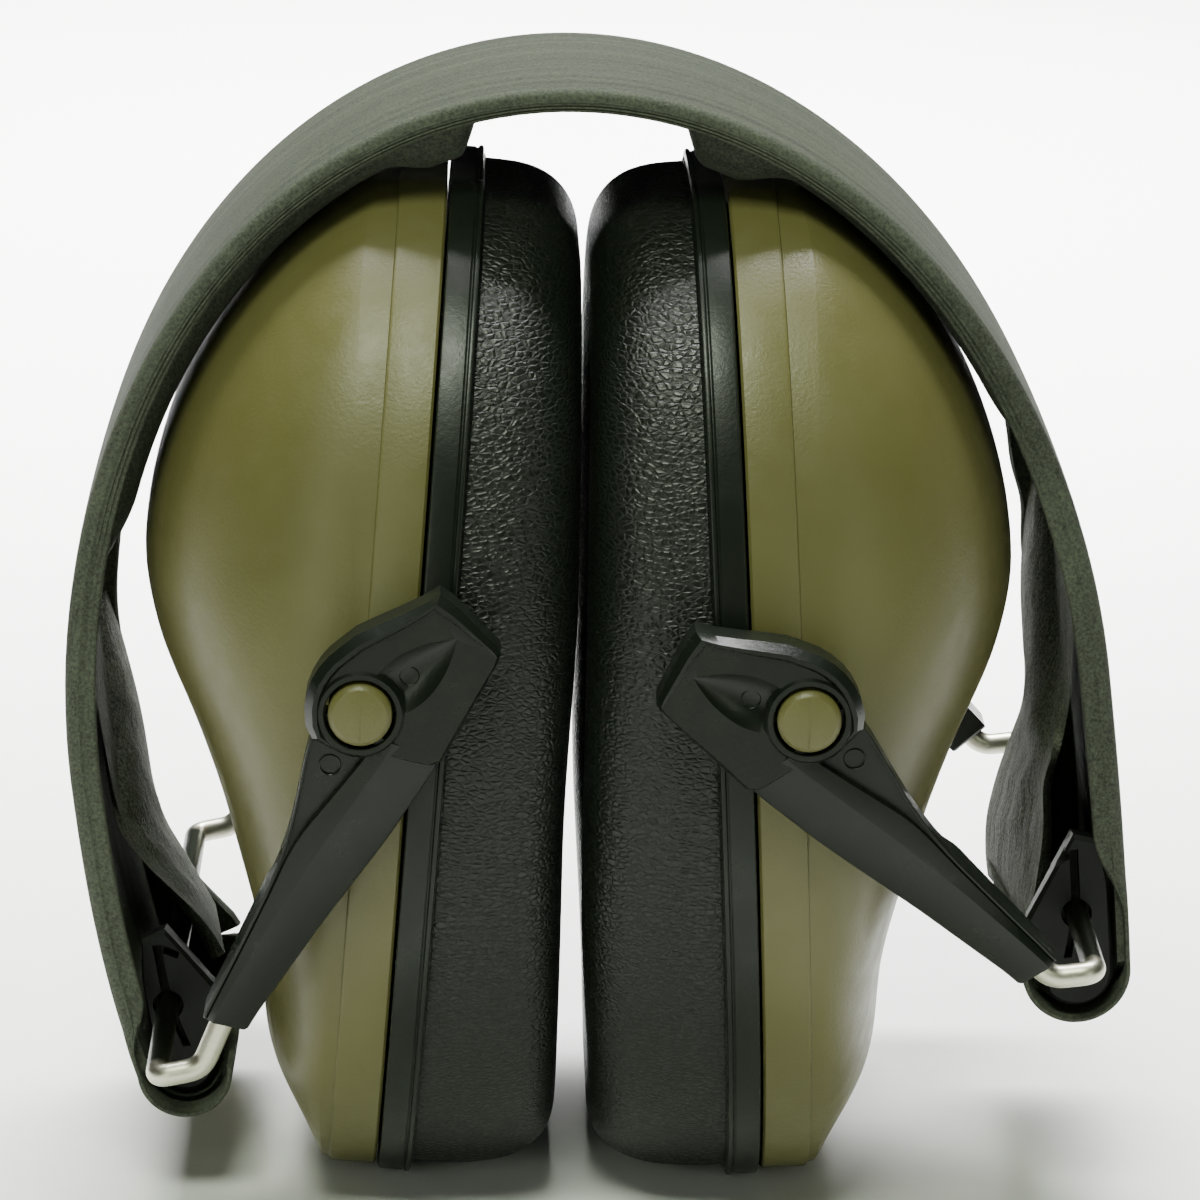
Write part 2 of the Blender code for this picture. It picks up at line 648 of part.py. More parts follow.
def mesh_of_curve(guide, name, kind, collection):
    """A mesh object from a filled curve, its caps welded; the curve is removed."""
    bpy.context.view_layer.update()
    evaluated = guide.evaluated_get(bpy.context.evaluated_depsgraph_get())
    mesh = bpy.data.meshes.new_from_object(evaluated)
    bm = bmesh.new()
    bm.from_mesh(mesh)
    bmesh.ops.remove_doubles(bm, verts=bm.verts[:], dist=0.00001)
    bmesh.ops.recalc_face_normals(bm, faces=bm.faces[:])
    bm.to_mesh(mesh)
    bm.free()
    matrix = guide.matrix_world.copy()
    curve = guide.data
    bpy.data.objects.remove(guide, do_unlink=True)
    bpy.data.curves.remove(curve)
    return add_object(name, mesh, kind, collection, matrix)


def band_leg(label, side, collection, cutters):
    path = band_path(side)
    pivot = flex_axis(side)
    cover = band_cover("band_cover_" + label, path, collection, side, pivot)
    _, axis = wire_corner(side)
    hole = [Vector((axis.x, y, axis.z)) for y in (INSERT_HALF - MM, HALF_WIDTH_END + 2 * MM)]
    boolean(cover, cylinder("hole_pod_" + label, BORE_RADIUS, *hole, sides=16), "DIFFERENCE", cutters)
    band_spring("band_spring_" + label, path, collection, pivot)
    pivot_insert(label, side, collection, cutters)


def build():
    clear_scene()
    parts = new_collection("folding_earmuffs")
    cutters = new_collection("cutters")
    band_cover("band_cover_crown", crown_path(), parts)
    band_spring("band_spring_crown", crown_path(), parts)
    for label, side in SIDES.items():
        band_leg(label, side, parts, cutters)
        wire_yoke(label, side, parts)
        for face in FACES:
            arm(face, label, side, parts, cutters)
        cup_shell(label, side, parts, cutters)
        seal_plate(label, side, parts, cutters)
        cushion_frame(label, side, parts)
        cushion_cover(label, side, parts)
        cushion_foam(label, side, parts)
        cup_foam(label, side, parts)


build()
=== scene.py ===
"""Studio scene of the folded earmuffs: one detailed piece for each part of the frame.

Lengths are written in millimetres in the frame of each part and scaled once, in mesh_piece.
"""
import json
import math

import bmesh
import bpy
import numpy as np
from mathutils import Matrix, Vector


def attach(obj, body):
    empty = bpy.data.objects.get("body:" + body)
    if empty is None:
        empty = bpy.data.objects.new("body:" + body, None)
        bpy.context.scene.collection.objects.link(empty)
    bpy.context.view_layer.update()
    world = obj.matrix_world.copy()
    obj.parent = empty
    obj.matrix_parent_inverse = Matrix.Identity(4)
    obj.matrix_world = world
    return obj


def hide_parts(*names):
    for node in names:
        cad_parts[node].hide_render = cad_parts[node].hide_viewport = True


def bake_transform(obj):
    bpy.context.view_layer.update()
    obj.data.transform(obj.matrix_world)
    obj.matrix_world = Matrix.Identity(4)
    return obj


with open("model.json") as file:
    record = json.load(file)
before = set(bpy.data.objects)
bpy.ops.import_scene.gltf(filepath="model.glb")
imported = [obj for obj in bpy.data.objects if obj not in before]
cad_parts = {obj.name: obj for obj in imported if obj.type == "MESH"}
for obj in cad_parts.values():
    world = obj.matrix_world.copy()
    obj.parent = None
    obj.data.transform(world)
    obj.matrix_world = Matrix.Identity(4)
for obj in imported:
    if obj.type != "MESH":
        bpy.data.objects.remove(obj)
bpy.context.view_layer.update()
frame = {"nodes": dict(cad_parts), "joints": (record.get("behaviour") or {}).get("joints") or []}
joints = {joint["name"]: joint for joint in frame["joints"]}

MM = 0.001
SIDES = {"left": -1, "right": 1}
FACES = {"front": -1, "rear": 1}


def joint_point(name):
    """A joint's position in millimetres."""
    return np.array(joints[name]["pos_m"]) / MM


def arm_direction(label):
    """Unit vector along an arm, from the boss to the tip."""
    return -np.array(joints["slide_" + label]["axis"])


# ---------------------------------------------------------------- sizes, in millimetres

TOE = math.radians(3.4)
BOSS_DEPTH = 8.8
BOSS_RADIUS = 3.05
BOSS_END = 44.8
HALF_WIDTH, HALF_HEIGHT, OVAL_CUT, OVAL_POWER, OVAL_CENTRE = 38.3, 53.0, 0.8, 2.3, -7.3
PLATE_DEPTH = 3.6
RIM_EDGE = 8.7
DOME_POWER = 2.3
DOME_PROFILE = [
    (-59.5, 9.0), (-55.5, 10.6), (-51.5, 12.4), (-47.5, 15.0), (-44.5, 16.6), (-40.0, 16.9), (-34.0, 17.5),
    (-29.0, 18.9), (-24.0, 20.7), (-17.5, 22.9), (-9.7, 26.4), (-3.0, 30.1), (4.0, 32.0), (11.0, 31.6),
    (17.0, 30.4), (23.0, 28.4), (30.0, 25.0), (36.0, 20.8), (41.0, 16.2), (44.6, 10.5),
]
PAD_INSET, PAD_WIDTH = 0.9, 17.0
# Below the first height a cushion recedes from the plane where the two meet, by the second value.
PAD_GAP = {"left": (12.0, 1.1), "right": (-20.0, 1.4)}
SWELL_LIMIT = 0.7
SPLIT_X = -2.4                    # plane where the two cushions meet
RING_STEPS, ROUND_STEPS = 192, 64
WIRE_RADIUS, WIRE_Y, BEND_RADIUS = 1.15, 37.5, 1.5
CRANK, CRANK_ANGLE, LEG_INSIDE = 4.5, math.radians(56.0), 13.2
ARM_HOLE = 3.4

BAND_MIDDLE = (3.4, 20.0)
BAND_LEAN = math.radians(7.7)
ARCH_FOOT, ARCH_TOP = 30.5, 95.1
ARCH_HALF = {"left": 52.6, "right": 51.6}
HOOK_HALF = {"left": 50.1, "right": 50.9}
LEG_POWER = 2.5
HOOK_RADIUS = {"left": 4.8, "right": 5.5}
# Depth of the rear flange, which opens out to close the pod: (height, depth).
REAR_FLANGE = {
    "left": [(-1, 9.6), (3.4, 7.6), (7.2, 5.8), (11.3, 4.1), (15.7, 2.9), (20, 2.7), (29, 3.4), (40, 2.8),
             (48, 3.1), (60, 2.5), (95, 2.3)],
    "right": [(-1, 11.2), (1, 10.9), (4.6, 9.3), (7.4, 6.9), (11.1, 4.9), (15.9, 4.2), (21.7, 4.3), (32, 5.0),
              (36, 4.7), (39.4, 3.9), (43.3, 4.4), (50, 3.2), (60, 2.5), (95, 2.3)],
}
INSERT_FACE = {"left": 17.5, "right": 20.2}
ROLL = {"left": 3.3, "right": 2.4}          # thickness of the soft rolls under the shoulders
KNEE = {"left": (3.0, 1.8), "right": (15.0, 2.7)}    # where they begin, how much fuller they are there
FRONT_CUT = {"left": (2.0, 8.0), "right": (5.0, 14.0)}    # heights between which the front flange shrinks
SKIN = 1.2
WIDTH_TOP, WIDTH_END = 16.2, 20.5


# ---------------------------------------------------------------- materials

class Graph:
    """Short way to write a node tree."""

    def __init__(self, name):
        self.material = bpy.data.materials.new(name)
        self.material.use_nodes = True
        self.tree = self.material.node_tree
        self.shader = self.tree.nodes["Principled BSDF"]

    def node(self, kind, settings=None, **inputs):
        made = self.tree.nodes.new("ShaderNode" + kind)
        for key, value in (settings or {}).items():
            setattr(made, key, value)
        for key, value in inputs.items():
            self.put(made.inputs[key.replace("_", " ")], value)
        return made

    def put(self, socket, value):
        """Links another node's output, or sets a plain value."""
        if isinstance(value, bpy.types.NodeSocket):
            self.tree.links.new(value, socket)
        else:
            socket.default_value = value

    def place(self, scale=(1, 1, 1)):
        """Object coordinates, stretched."""
        coords = self.node("TexCoord").outputs["Object"]
        return self.node("Mapping", Vector=coords, Scale=scale).outputs["Vector"]

    def noise(self, vector, scale, detail, roughness=0.5):
        made = self.node("TexNoise", Vector=vector, Scale=scale, Detail=detail, Roughness=roughness)
        return made.outputs["Fac"]

    def cells(self, vector, scale, feature="F1"):
        made = self.node("TexVoronoi", {"feature": feature}, Vector=vector, Scale=scale)
        return made.outputs["Distance"]

    def span(self, value, low, high, new_low=0.0, new_high=1.0):
        """Value mapped from one range to another and held inside it."""
        made = self.node("MapRange", {"clamp": True})
        for socket, number in zip(made.inputs[:5], (value, low, high, new_low, new_high)):
            self.put(socket, number)
        return made.outputs["Result"]

    def math(self, operation, a, b=0.0):
        made = self.node("Math", {"operation": operation})
        self.put(made.inputs[0], a)
        self.put(made.inputs[1], b)
        return made.outputs["Value"]

    def mix(self, share, a, b):
        made = self.node("Mix", {"data_type": "RGBA"})
        self.put(made.inputs[0], share)
        self.put(made.inputs[6], (*a, 1.0) if isinstance(a, tuple) else a)
        self.put(made.inputs[7], (*b, 1.0) if isinstance(b, tuple) else b)
        return made.outputs[2]

    def bump(self, height, distance, strength, normal=None):
        made = self.node("Bump", Height=height, Distance=distance, Strength=strength)
        if normal is not None:
            self.put(made.inputs["Normal"], normal)
        return made.outputs["Normal"]

    def finish(self, colour, roughness, normal=None, **plain):
        """Fills the shader's sockets and gives back the material."""
        self.put(self.shader.inputs["Base Color"], (*colour, 1.0) if isinstance(colour, tuple) else colour)
        self.put(self.shader.inputs["Roughness"], roughness)
        if normal is not None:
            self.put(self.shader.inputs["Normal"], normal)
        for key, value in plain.items():
            self.put(self.shader.inputs[key.replace("_", " ")], value)
        return self.material


def shell_plastic():
    """Olive plastic with a fine spark-eroded grain."""
    g = Graph("olive_plastic")
    at = g.place()
    grain = g.noise(at, 2600.0, 3.0, 0.6)
    cloud = g.noise(at, 60.0, 3.0)
    colour = g.mix(g.span(cloud, 0.35, 0.7), (0.084, 0.080, 0.024), (0.098, 0.094, 0.031))
    rough = g.span(g.noise(at, 420.0, 4.0), 0.3, 0.7, 0.36, 0.48)
    return g.finish(colour, rough, g.bump(grain, 0.00005, 0.7), Specular_IOR_Level=0.38)


def black_plastic(name, rough_low, rough_high, tint=(0.0044, 0.0066, 0.0040), gloss=0.26):
    """Black moulded plastic with a faint grain and a few rubbed places."""
    g = Graph(name)
    at = g.place()
    grain = g.noise(at, 2200.0, 3.0, 0.6)
    rubbed = g.noise(at, 130.0, 5.0, 0.7)
    lighter = tuple(1.8 * c for c in tint)
    colour = g.mix(g.span(rubbed, 0.5, 0.8), tint, lighter)
    rough = g.span(rubbed, 0.3, 0.7, rough_high, rough_low)
    return g.finish(colour, rough, g.bump(grain, 0.00004, 0.6), Specular_IOR_Level=gloss)


def cushion_vinyl():
    """Black vinyl with a wrinkled leather grain."""
    g = Graph("cushion_vinyl")
    at = g.place((1.0, 1.0, 1.7))
    warp = g.node("VectorMath", {"operation": "ADD"})
    wobble = g.node("TexNoise", Vector=at, Scale=600.0, Detail=2.0).outputs["Color"]
    scaled = g.node("VectorMath", {"operation": "SCALE"}, Scale=0.0007)
    g.put(scaled.inputs[0], wobble)
    g.put(warp.inputs[0], at)
    g.put(warp.inputs[1], scaled.outputs["Vector"])
    pebbles = g.cells(warp.outputs["Vector"], 1700.0, "SMOOTH_F1")
    creases = g.cells(warp.outputs["Vector"], 1150.0, "DISTANCE_TO_EDGE")
    fine = g.noise(at, 3000.0, 2.0)
    height = g.math("ADD", g.math("MULTIPLY", g.span(creases, 0.0, 0.25), 0.7),
                    g.math("ADD", g.math("MULTIPLY", pebbles, -0.6), g.math("MULTIPLY", fine, 0.12)))
    soft = g.noise(g.place(), 120.0, 3.0)
    normal = g.bump(height, 0.00010, 0.85, g.bump(soft, 0.0005, 0.4))
    rough = g.span(creases, 0.0, 0.2, 0.5, 0.33)
    return g.finish((0.0042, 0.0064, 0.0038), rough, normal, Specular_IOR_Level=0.34)


def band_skin(name, crinkle=0.0, low=(0.016, 0.019, 0.014), high=(0.066, 0.077, 0.053), streaks=True):
    """Dark foam skin: speckled, with long streaks round the band."""
    g = Graph(name)
    at = g.place()
    speck = g.noise(at, 3300.0, 2.0, 0.7)
    soft = g.noise(at, 700.0, 3.0, 0.6)
    shade = g.math("ADD", g.math("MULTIPLY", speck, 0.75), g.math("MULTIPLY", soft, 0.25))
    if streaks:
        lines = g.noise(g.place((0.02, 1.0, 0.02)), 420.0, 4.0, 0.65)
        shade = g.math("ADD", g.math("MULTIPLY", shade, 0.66), g.math("MULTIPLY", lines, 0.34))
    colour = g.mix(g.span(shade, 0.38, 0.62), low, high)
    height = g.math("ADD", g.math("MULTIPLY", speck, 0.6), g.math("MULTIPLY", soft, 0.5))
    creased = g.noise(g.place((1.0, 1.0, 0.6)), 260.0, 4.0, 0.65)
    normal = g.bump(height, 0.00014, 0.9, g.bump(creased, 0.0001 + crinkle, 0.7))
    return g.finish(colour, g.span(soft, 0.3, 0.7, 0.74, 0.88), normal, Specular_IOR_Level=0.3)


def wire_steel():
    """Plated spring wire, faintly drawn along its length, with painted shade on the crossbar where it turns
    in the band.
    """
    g = Graph("plated_wire")
    at = g.place()
    drawn = g.noise(at, 2600.0, 3.0, 0.6)
    across = g.math("ABSOLUTE", g.node("SeparateXYZ", Vector=at).outputs["Y"])
    bright = g.mix(g.span(drawn, 0.3, 0.7), (0.50, 0.49, 0.38), (0.56, 0.55, 0.45))
    # painted shade: the crossbar between the two cranks, inside the band, is coloured near-black instead of
    # bright metal
    colour = g.mix(g.span(across, (WIRE_Y - 2.2) * MM, (WIRE_Y - 0.9) * MM), (0.035, 0.042, 0.030), bright)
    return g.finish(colour, g.span(drawn, 0.3, 0.7, 0.34, 0.42), g.bump(drawn, 0.000003, 0.2), Metallic=1.0)


def open_foam():
    """Dark open-cell foam."""
    g = Graph("open_foam")
    at = g.place()
    pores = g.cells(at, 1100.0)
    colour = g.mix(g.span(pores, 0.1, 0.6), (0.075, 0.076, 0.08), (0.018, 0.018, 0.02))
    return g.finish(colour, 0.95, g.bump(pores, 0.0006, 0.9), Specular_IOR_Level=0.2)


def paper_floor():
    """Plain white paper."""
    g = Graph("paper_floor")
    fibres = g.noise(g.place(), 300.0, 4.0)
    colour = g.mix(g.span(fibres, 0.3, 0.7), (0.86, 0.86, 0.85), (0.88, 0.88, 0.87))
    return g.finish(colour, 0.9, Specular_IOR_Level=0.1)


MATERIALS = {
    "olive": shell_plastic(),
    "arm": black_plastic("arm_plastic", 0.24, 0.40),
    "plate": black_plastic("plate_plastic", 0.26, 0.42, (0.0055, 0.0082, 0.0052)),
    # insert: black plastic, tinted darker and duller than the arms; the extra darkness is painted shade of
    # the pod's recess
    "insert": black_plastic("insert_plastic", 0.5, 0.62, (0.002, 0.0024, 0.002), 0.2),
    "vinyl": cushion_vinyl(),
    "band": band_skin("band_skin"),
    "lining": band_skin("band_lining", 0.0011, (0.012, 0.014, 0.010), (0.080, 0.090, 0.064), False),
    "wire": wire_steel(),
    "foam": open_foam(),
}


# ---------------------------------------------------------------- mesh helpers

def mesh_piece(name, verts, faces, look, sharp=40.0):
    """A piece from points in millimetres, smooth apart from edges sharper than the given angle."""
    mesh = bpy.data.meshes.new(name)
    mesh.from_pydata([tuple(float(c) * MM for c in p) for p in verts], [], faces)
    bm = bmesh.new()
    bm.from_mesh(mesh)
    bmesh.ops.remove_doubles(bm, verts=bm.verts[:], dist=0.000002)
    bmesh.ops.recalc_face_normals(bm, faces=bm.faces[:])
    bm.to_mesh(mesh)
    bm.free()
    mesh.materials.append(MATERIALS[look])
    mesh.shade_smooth()
    mesh.set_sharp_from_angle(angle=math.radians(sharp))
    obj = bpy.data.objects.new(name, mesh)
    bpy.context.scene.collection.objects.link(obj)
    return obj


def skin(rows, closed_rows=False, closed_columns=True, caps=False):
    """Vertices and faces of a surface through rows of equal length."""
    rows = [list(row) for row in rows]
    count = len(rows[0])
    verts = [p for row in rows for p in row]
    faces = []
    row_steps = len(rows) if closed_rows else len(rows) - 1
    column_steps = count if closed_columns else count - 1
    for i in range(row_steps):
        a, b = i * count, (i + 1) % len(rows) * count
        for k in range(column_steps):
            n = (k + 1) % count
            faces.append((a + k, a + n, b + n, b + k))
    if caps:
        faces.append(tuple(range(count))[::-1])
        faces.append(tuple(range((len(rows) - 1) * count, len(rows) * count)))
    return verts, faces


def joined(*parts):
    """Several (vertices, faces) in one."""
    verts, faces = [], []
    for some_verts, some_faces in parts:
        start = len(verts)
        verts += list(some_verts)
        faces += [tuple(start + i for i in face) for face in some_faces]
    return verts, faces


def bevel(obj, width, segments=2, angle=35.0):
    """Rounds the edges sharper than an angle; the width is in millimetres."""
    made = obj.modifiers.new("edges", "BEVEL")
    made.width = width * MM
    made.segments = segments
    made.limit_method = "ANGLE"
    made.angle_limit = math.radians(angle)
    made.harden_normals = False


def stands_for(obj, body, slot, *nodes):
    """Fixes a piece to its body and hides the nodes it stands for; the slot argument is not used."""
    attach(obj, body)
    if nodes:
        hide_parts(*nodes)
    return obj


# ---------------------------------------------------------------- cups

def cup_place(label):
    """Takes (depth, y, z) in a cup's frame to the row frame, in millimetres."""
    side = SIDES[label]
    boss = joint_point("cup_" + label)
    c, s = math.cos(TOE), math.sin(-side * TOE)

    def place(depth, y, z):
        x = side * (depth - BOSS_DEPTH)
        return boss + np.array([c * x + s * z, y, -s * x + c * z])
    return place


def oval(count, inset):
    """The seal plate's outline moved in along its normal: (y, z) pairs."""
    points = []
    for i in range(count):
        a = 2 * math.pi * (i + 0.5) / count
        c, s = math.cos(a), math.sin(a)
        y = HALF_WIDTH * math.copysign(abs(c) ** (2 / OVAL_POWER), c)
        z = HALF_HEIGHT * math.copysign(abs(s) ** (2 / OVAL_POWER), s)
        n = np.array([math.copysign(abs(y / HALF_WIDTH) ** (OVAL_POWER - 1), y) / HALF_WIDTH,
                      math.copysign(abs(z / HALF_HEIGHT) ** (OVAL_POWER - 1), z) / HALF_HEIGHT])
        n /= np.linalg.norm(n)
        limit = HALF_HEIGHT - OVAL_CUT - inset
        points.append((y - n[0] * inset, max(-limit, min(limit, z - n[1] * inset)) + OVAL_CENTRE))
    return points


def even_oval(count, inset):
    """The same outline with its points at even steps along it."""
    fine = np.array(oval(1440, inset))
    closed = np.vstack([fine, fine[:1]])
    steps = np.r_[0, np.cumsum(np.linalg.norm(np.diff(closed, axis=0), axis=1))]
    at = np.linspace(0, steps[-1], count, endpoint=False)
    return [(np.interp(t, steps, closed[:, 0]), np.interp(t, steps, closed[:, 1])) for t in at]


def ring_piece(name, label, profile, look, sharp=40.0):
    """A ring swept round the oval and kept above the floor; profile holds (inset, depth) pairs."""
    place = cup_place(label)
    rings = [even_oval(RING_STEPS, inset) for inset, _ in profile]
    rows = []
    for i in range(RING_STEPS):
        row = [place(depth, *ring[i]) for ring, (_, depth) in zip(rings, profile)]
        for point in row:
            point[2] = max(point[2], 0.0)
        rows.append(row)
    return mesh_piece(name, *skin(rows, closed_rows=True), look, sharp)


def dome_profile():
    """Heights and depths along the middle of a cup, smoothed by a bell curve."""
    step, reach, spread = 0.25, 40, 2.2
    zs, ds = np.array(DOME_PROFILE).T
    fine = np.arange(zs[0], zs[-1] + 0.01, step)
    depth = np.interp(fine, zs, ds)
    kernel = np.exp(-0.5 * (np.arange(-reach, reach + 1) * step / spread) ** 2)
    kernel /= kernel.sum()
    before, after = 2 * depth[0] - depth[reach:0:-1], 2 * depth[-1] - depth[-2:-reach - 2:-1]
    padded = np.r_[before, depth, after]
    return fine, np.convolve(padded, kernel, "valid")


DOME_Z, DOME_D = dome_profile()


def dome_depth(y, z):
    """Depth of the dome's surface at a place on the cup."""
    reach = min(1.0, abs(z - OVAL_CENTRE) / HALF_HEIGHT)
    half = max(HALF_WIDTH * (1 - reach ** OVAL_POWER) ** (1 / OVAL_POWER) - 1.0, 1e-3)
    r = min(1.0, abs(y) / half)
    rise = max(float(np.interp(z, DOME_Z, DOME_D)) - RIM_EDGE, 0.0)
    return RIM_EDGE + rise * (1 - r ** DOME_POWER) ** (1 / DOME_POWER)


def cup_shell(label):
    """Rim band with rounded edges and the dome that rises inside it."""
    place = cup_place(label)
    count, middle = 240, 2.0
    low = PLATE_DEPTH + 0.3
    rim = [(2.5, low), (0.75, low), (0.5, low + 0.25), (0.5, RIM_EDGE - 0.35), (0.62, RIM_EDGE - 0.1),
           (0.85, RIM_EDGE)]
    rows = [[place(depth, y, z) for y, z in oval(count, inset)] for inset, depth in rim]
    base = oval(count, 1.0)
    scales = [1.0, 0.9995, 0.9985, 0.996]
    scales += [1.0 - (1 - math.cos(math.pi * k / 96)) ** 1.4 for k in range(7, 48)]
    for scale in scales:
        ring = [(y * scale, middle + (z - middle) * scale) for y, z in base]
        rows.append([place(dome_depth(y, z), y, z) for y, z in ring])
    verts, faces = skin(rows)
    last = len(rows) - 1
    verts.append(place(dome_depth(0.0, middle), 0.0, middle))
    faces += [(last * count + k, last * count + (k + 1) % count, len(verts) - 1) for k in range(count)]
    shell = mesh_piece("shell_" + label, verts, faces, "olive", 28.0)
    wall = shell.modifiers.new("wall", "SOLIDIFY")
    wall.thickness = 1.6 * MM
    wall.offset = -1
    return stands_for(shell, "cup_" + label, "cup", "cup_shell_" + label)


def turned(points, centre, sign):
    """A shape turned about a line along Y through centre: points are (radius, |y|)."""
    rows = []
    for radius, y in points:
        row = []
        for k in range(ROUND_STEPS):
            a = 2 * math.pi * k / ROUND_STEPS
            row.append((centre[0] + radius * math.cos(a), sign * y, centre[2] + radius * math.sin(a)))
        rows.append(row)
    return skin(rows, caps=True)


def boss_button(label, face):
    """Pivot pin moulded on the cup: chamfered end and the fine line of its mould."""
    sign = FACES[face]
    centre = joint_point("cup_" + label)
    r, end = BOSS_RADIUS, BOSS_END
    pin = turned([(r, 33.0), (r, end - 0.55), (r - 0.08, end - 0.4), (r - 0.45, end - 0.06),
                  (r - 0.6, end), (0.02, end)], centre, sign)
    half, tall = 0.06, r - 0.55
    low, high = end - 0.1, end + 0.05
    corners = [(x, sign * y, z) for y in (low, high) for x, z in
               ((-half, -tall), (half, -tall), (half, tall), (-half, tall))]
    line = ([centre + np.array(c) for c in corners],
            [(0, 1, 2, 3), (4, 5, 6, 7), (0, 1, 5, 4), (1, 2, 6, 5), (2, 3, 7, 6), (3, 0, 4, 7)])
    button = mesh_piece(f"boss_{face}_{label}", *joined(pin, line), "olive", 30.0)
    return stands_for(button, "cup_" + label, "cup")


def seal_plate(label):
    """Black plate: wide outer band, a thin raised bead next to the cushion, a flat inside."""
    inner = PAD_INSET + PAD_WIDTH
    profile = [(0.25, PLATE_DEPTH), (0.05, PLATE_DEPTH - 0.12), (0.0, PLATE_DEPTH - 0.35), (0.0, 1.25),
               (0.12, 1.05), (0.12, 0.95), (-0.12, 0.8), (-0.16, 0.6), (-0.1, 0.42), (0.15, 0.32), (1.1, 0.3),
               (1.35, 0.45), (1.45, 0.8), (1.5, 2.4), (inner - 0.3, 2.4), (inner, 2.65),
               (inner, PLATE_DEPTH - 0.25), (inner + 0.25, PLATE_DEPTH)]
    plate = ring_piece("plate_" + label, label, profile, "plate", 30.0)
    return stands_for(plate, "cup_" + label, "plate", "seal_plate_" + label)


def cushion_thickness(label, z):
    """From the seal plate to the cushion's face at a height from the boss axis."""
    start, recess = PAD_GAP[label]
    boss_offset = abs(joint_point("cup_left")[0] - SPLIT_X)
    full = boss_offset / math.cos(TOE) - BOSS_DEPTH - z * math.tan(TOE) - 0.1
    return full - ease(0.0, recess, -z, -start, 30.0 - start)


def cushion(label):
    """Vinyl ring: swollen by a cloth simulation, then held to the plane where it meets the other."""
    steps, count = 25, 264
    place = cup_place(label)
    side = SIDES[label]
    section = []
    for i in range(steps):
        a = math.pi * i / (steps - 1)
        across = math.copysign(abs(math.cos(a)) ** (2 / 2.5), math.cos(a))
        section.append((PAD_INSET + 0.1 + (PAD_WIDTH - 0.2) / 2 * (1 - across), math.sin(a) ** (2 / 3.1)))
    rings = [even_oval(count, inset) for inset, _ in section]
    rows = []
    for i in range(count):
        row = []
        for k, (inset, share) in enumerate(section):
            y, z = rings[k][i]
            row.append(place(0.4 - share * (cushion_thickness(label, z) + 0.1), y, z))
        rows.append(row)
    verts, faces = skin(rows, closed_rows=True, closed_columns=False)
    pad = mesh_piece("cushion_" + label, verts, faces, "vinyl", 180.0)
    swell(pad, [i for i in range(count * steps) if i % steps in (0, steps - 1)])
    limit = (SPLIT_X + side * 0.04) * MM
    for vertex in pad.data.vertices:
        vertex.co.x = side * max(side * vertex.co.x, side * limit)
    smooth = pad.modifiers.new("smooth", "SUBSURF")
    smooth.levels = smooth.render_levels = 1
    stands_for(pad, "cup_" + label, "pad", "cushion_cover_" + label, "cushion_foam_" + label)
    return pad


def swell(pad, held):
    """Blows a pad up with cloth pressure while the held edge stays put."""
    scene = bpy.context.scene
    rest = np.array([v.co for v in pad.data.vertices])
    group = pad.vertex_groups.new(name="held")
    group.add(held, 1.0, "REPLACE")
    cloth = pad.modifiers.new("cloth", "CLOTH")
    settings = cloth.settings
    settings.vertex_group_mass = "held"
    settings.use_pressure = True
    settings.uniform_pressure_force = 4.0
    settings.effector_weights.gravity = 0.0
    settings.quality = 6
    settings.mass = 0.1
    settings.tension_stiffness = 25.0
    settings.bending_stiffness = 0.2
    cloth.point_cache.frame_start = 1
    cloth.point_cache.frame_end = 20
    for number in range(1, 21):
        scene.frame_set(number)
    moved = np.array([v.co for v in pad.evaluated_get(bpy.context.evaluated_depsgraph_get()).data.vertices])
    pad.modifiers.remove(cloth)
    scene.frame_set(1)
    step = moved - rest
    length = np.linalg.norm(step, axis=1, keepdims=True)
    step *= np.minimum(1.0, SWELL_LIMIT * MM / np.maximum(length, 1e-9))
    for vertex, place in zip(pad.data.vertices, rest + step):
        vertex.co = place
    pad.vertex_groups.clear()


def weld_hem(label):
    """Flat welded edge of the vinyl where it is tucked into the plate's lip."""
    profile = [(PAD_INSET - 0.15, 0.55), (PAD_INSET - 0.3, 0.3), (PAD_INSET - 0.1, 0.12),
               (PAD_INSET + 0.4, 0.1), (PAD_INSET + 0.8, 0.5)]
    hem = ring_piece("cushion_hem_" + label, label, profile, "vinyl")
    return stands_for(hem, "cup_" + label, "pad")


# ---------------------------------------------------------------- wires

def wire(label):
    """One bent wire: legs in the arms, cranks, and the crossbar through the band's end."""
    boss = joint_point("cup_" + label)
    axis = joint_point("fold_" + label)
    along = arm_direction(label)
    crank_run = CRANK * math.cos(CRANK_ANGLE)
    bend = boss + along * (float(np.dot(axis - boss, along)) - crank_run)
    leg_end = bend - along * LEG_INSIDE
    lift = np.array([0.0, WIRE_Y, 0.0])
    corners = [leg_end - lift, bend - lift, axis - lift, axis + lift, bend + lift, leg_end + lift]
    path = [corners[0]]
    for before, here, after in zip(corners, corners[1:], corners[2:]):
        a = here + (before - here) / np.linalg.norm(before - here) * BEND_RADIUS
        b = here + (after - here) / np.linalg.norm(after - here) * BEND_RADIUS
        for i in range(9):
            t = i / 8
            path.append(a * (1 - t) ** 2 + here * 2 * t * (1 - t) + b * t ** 2)
    path.append(corners[-1])
    body = tube(path, WIRE_RADIUS, 28)
    made = mesh_piece("wire_" + label, *body, "wire", 50.0)
    return stands_for(made, "wire_" + label, "wire", "wire_yoke_" + label)


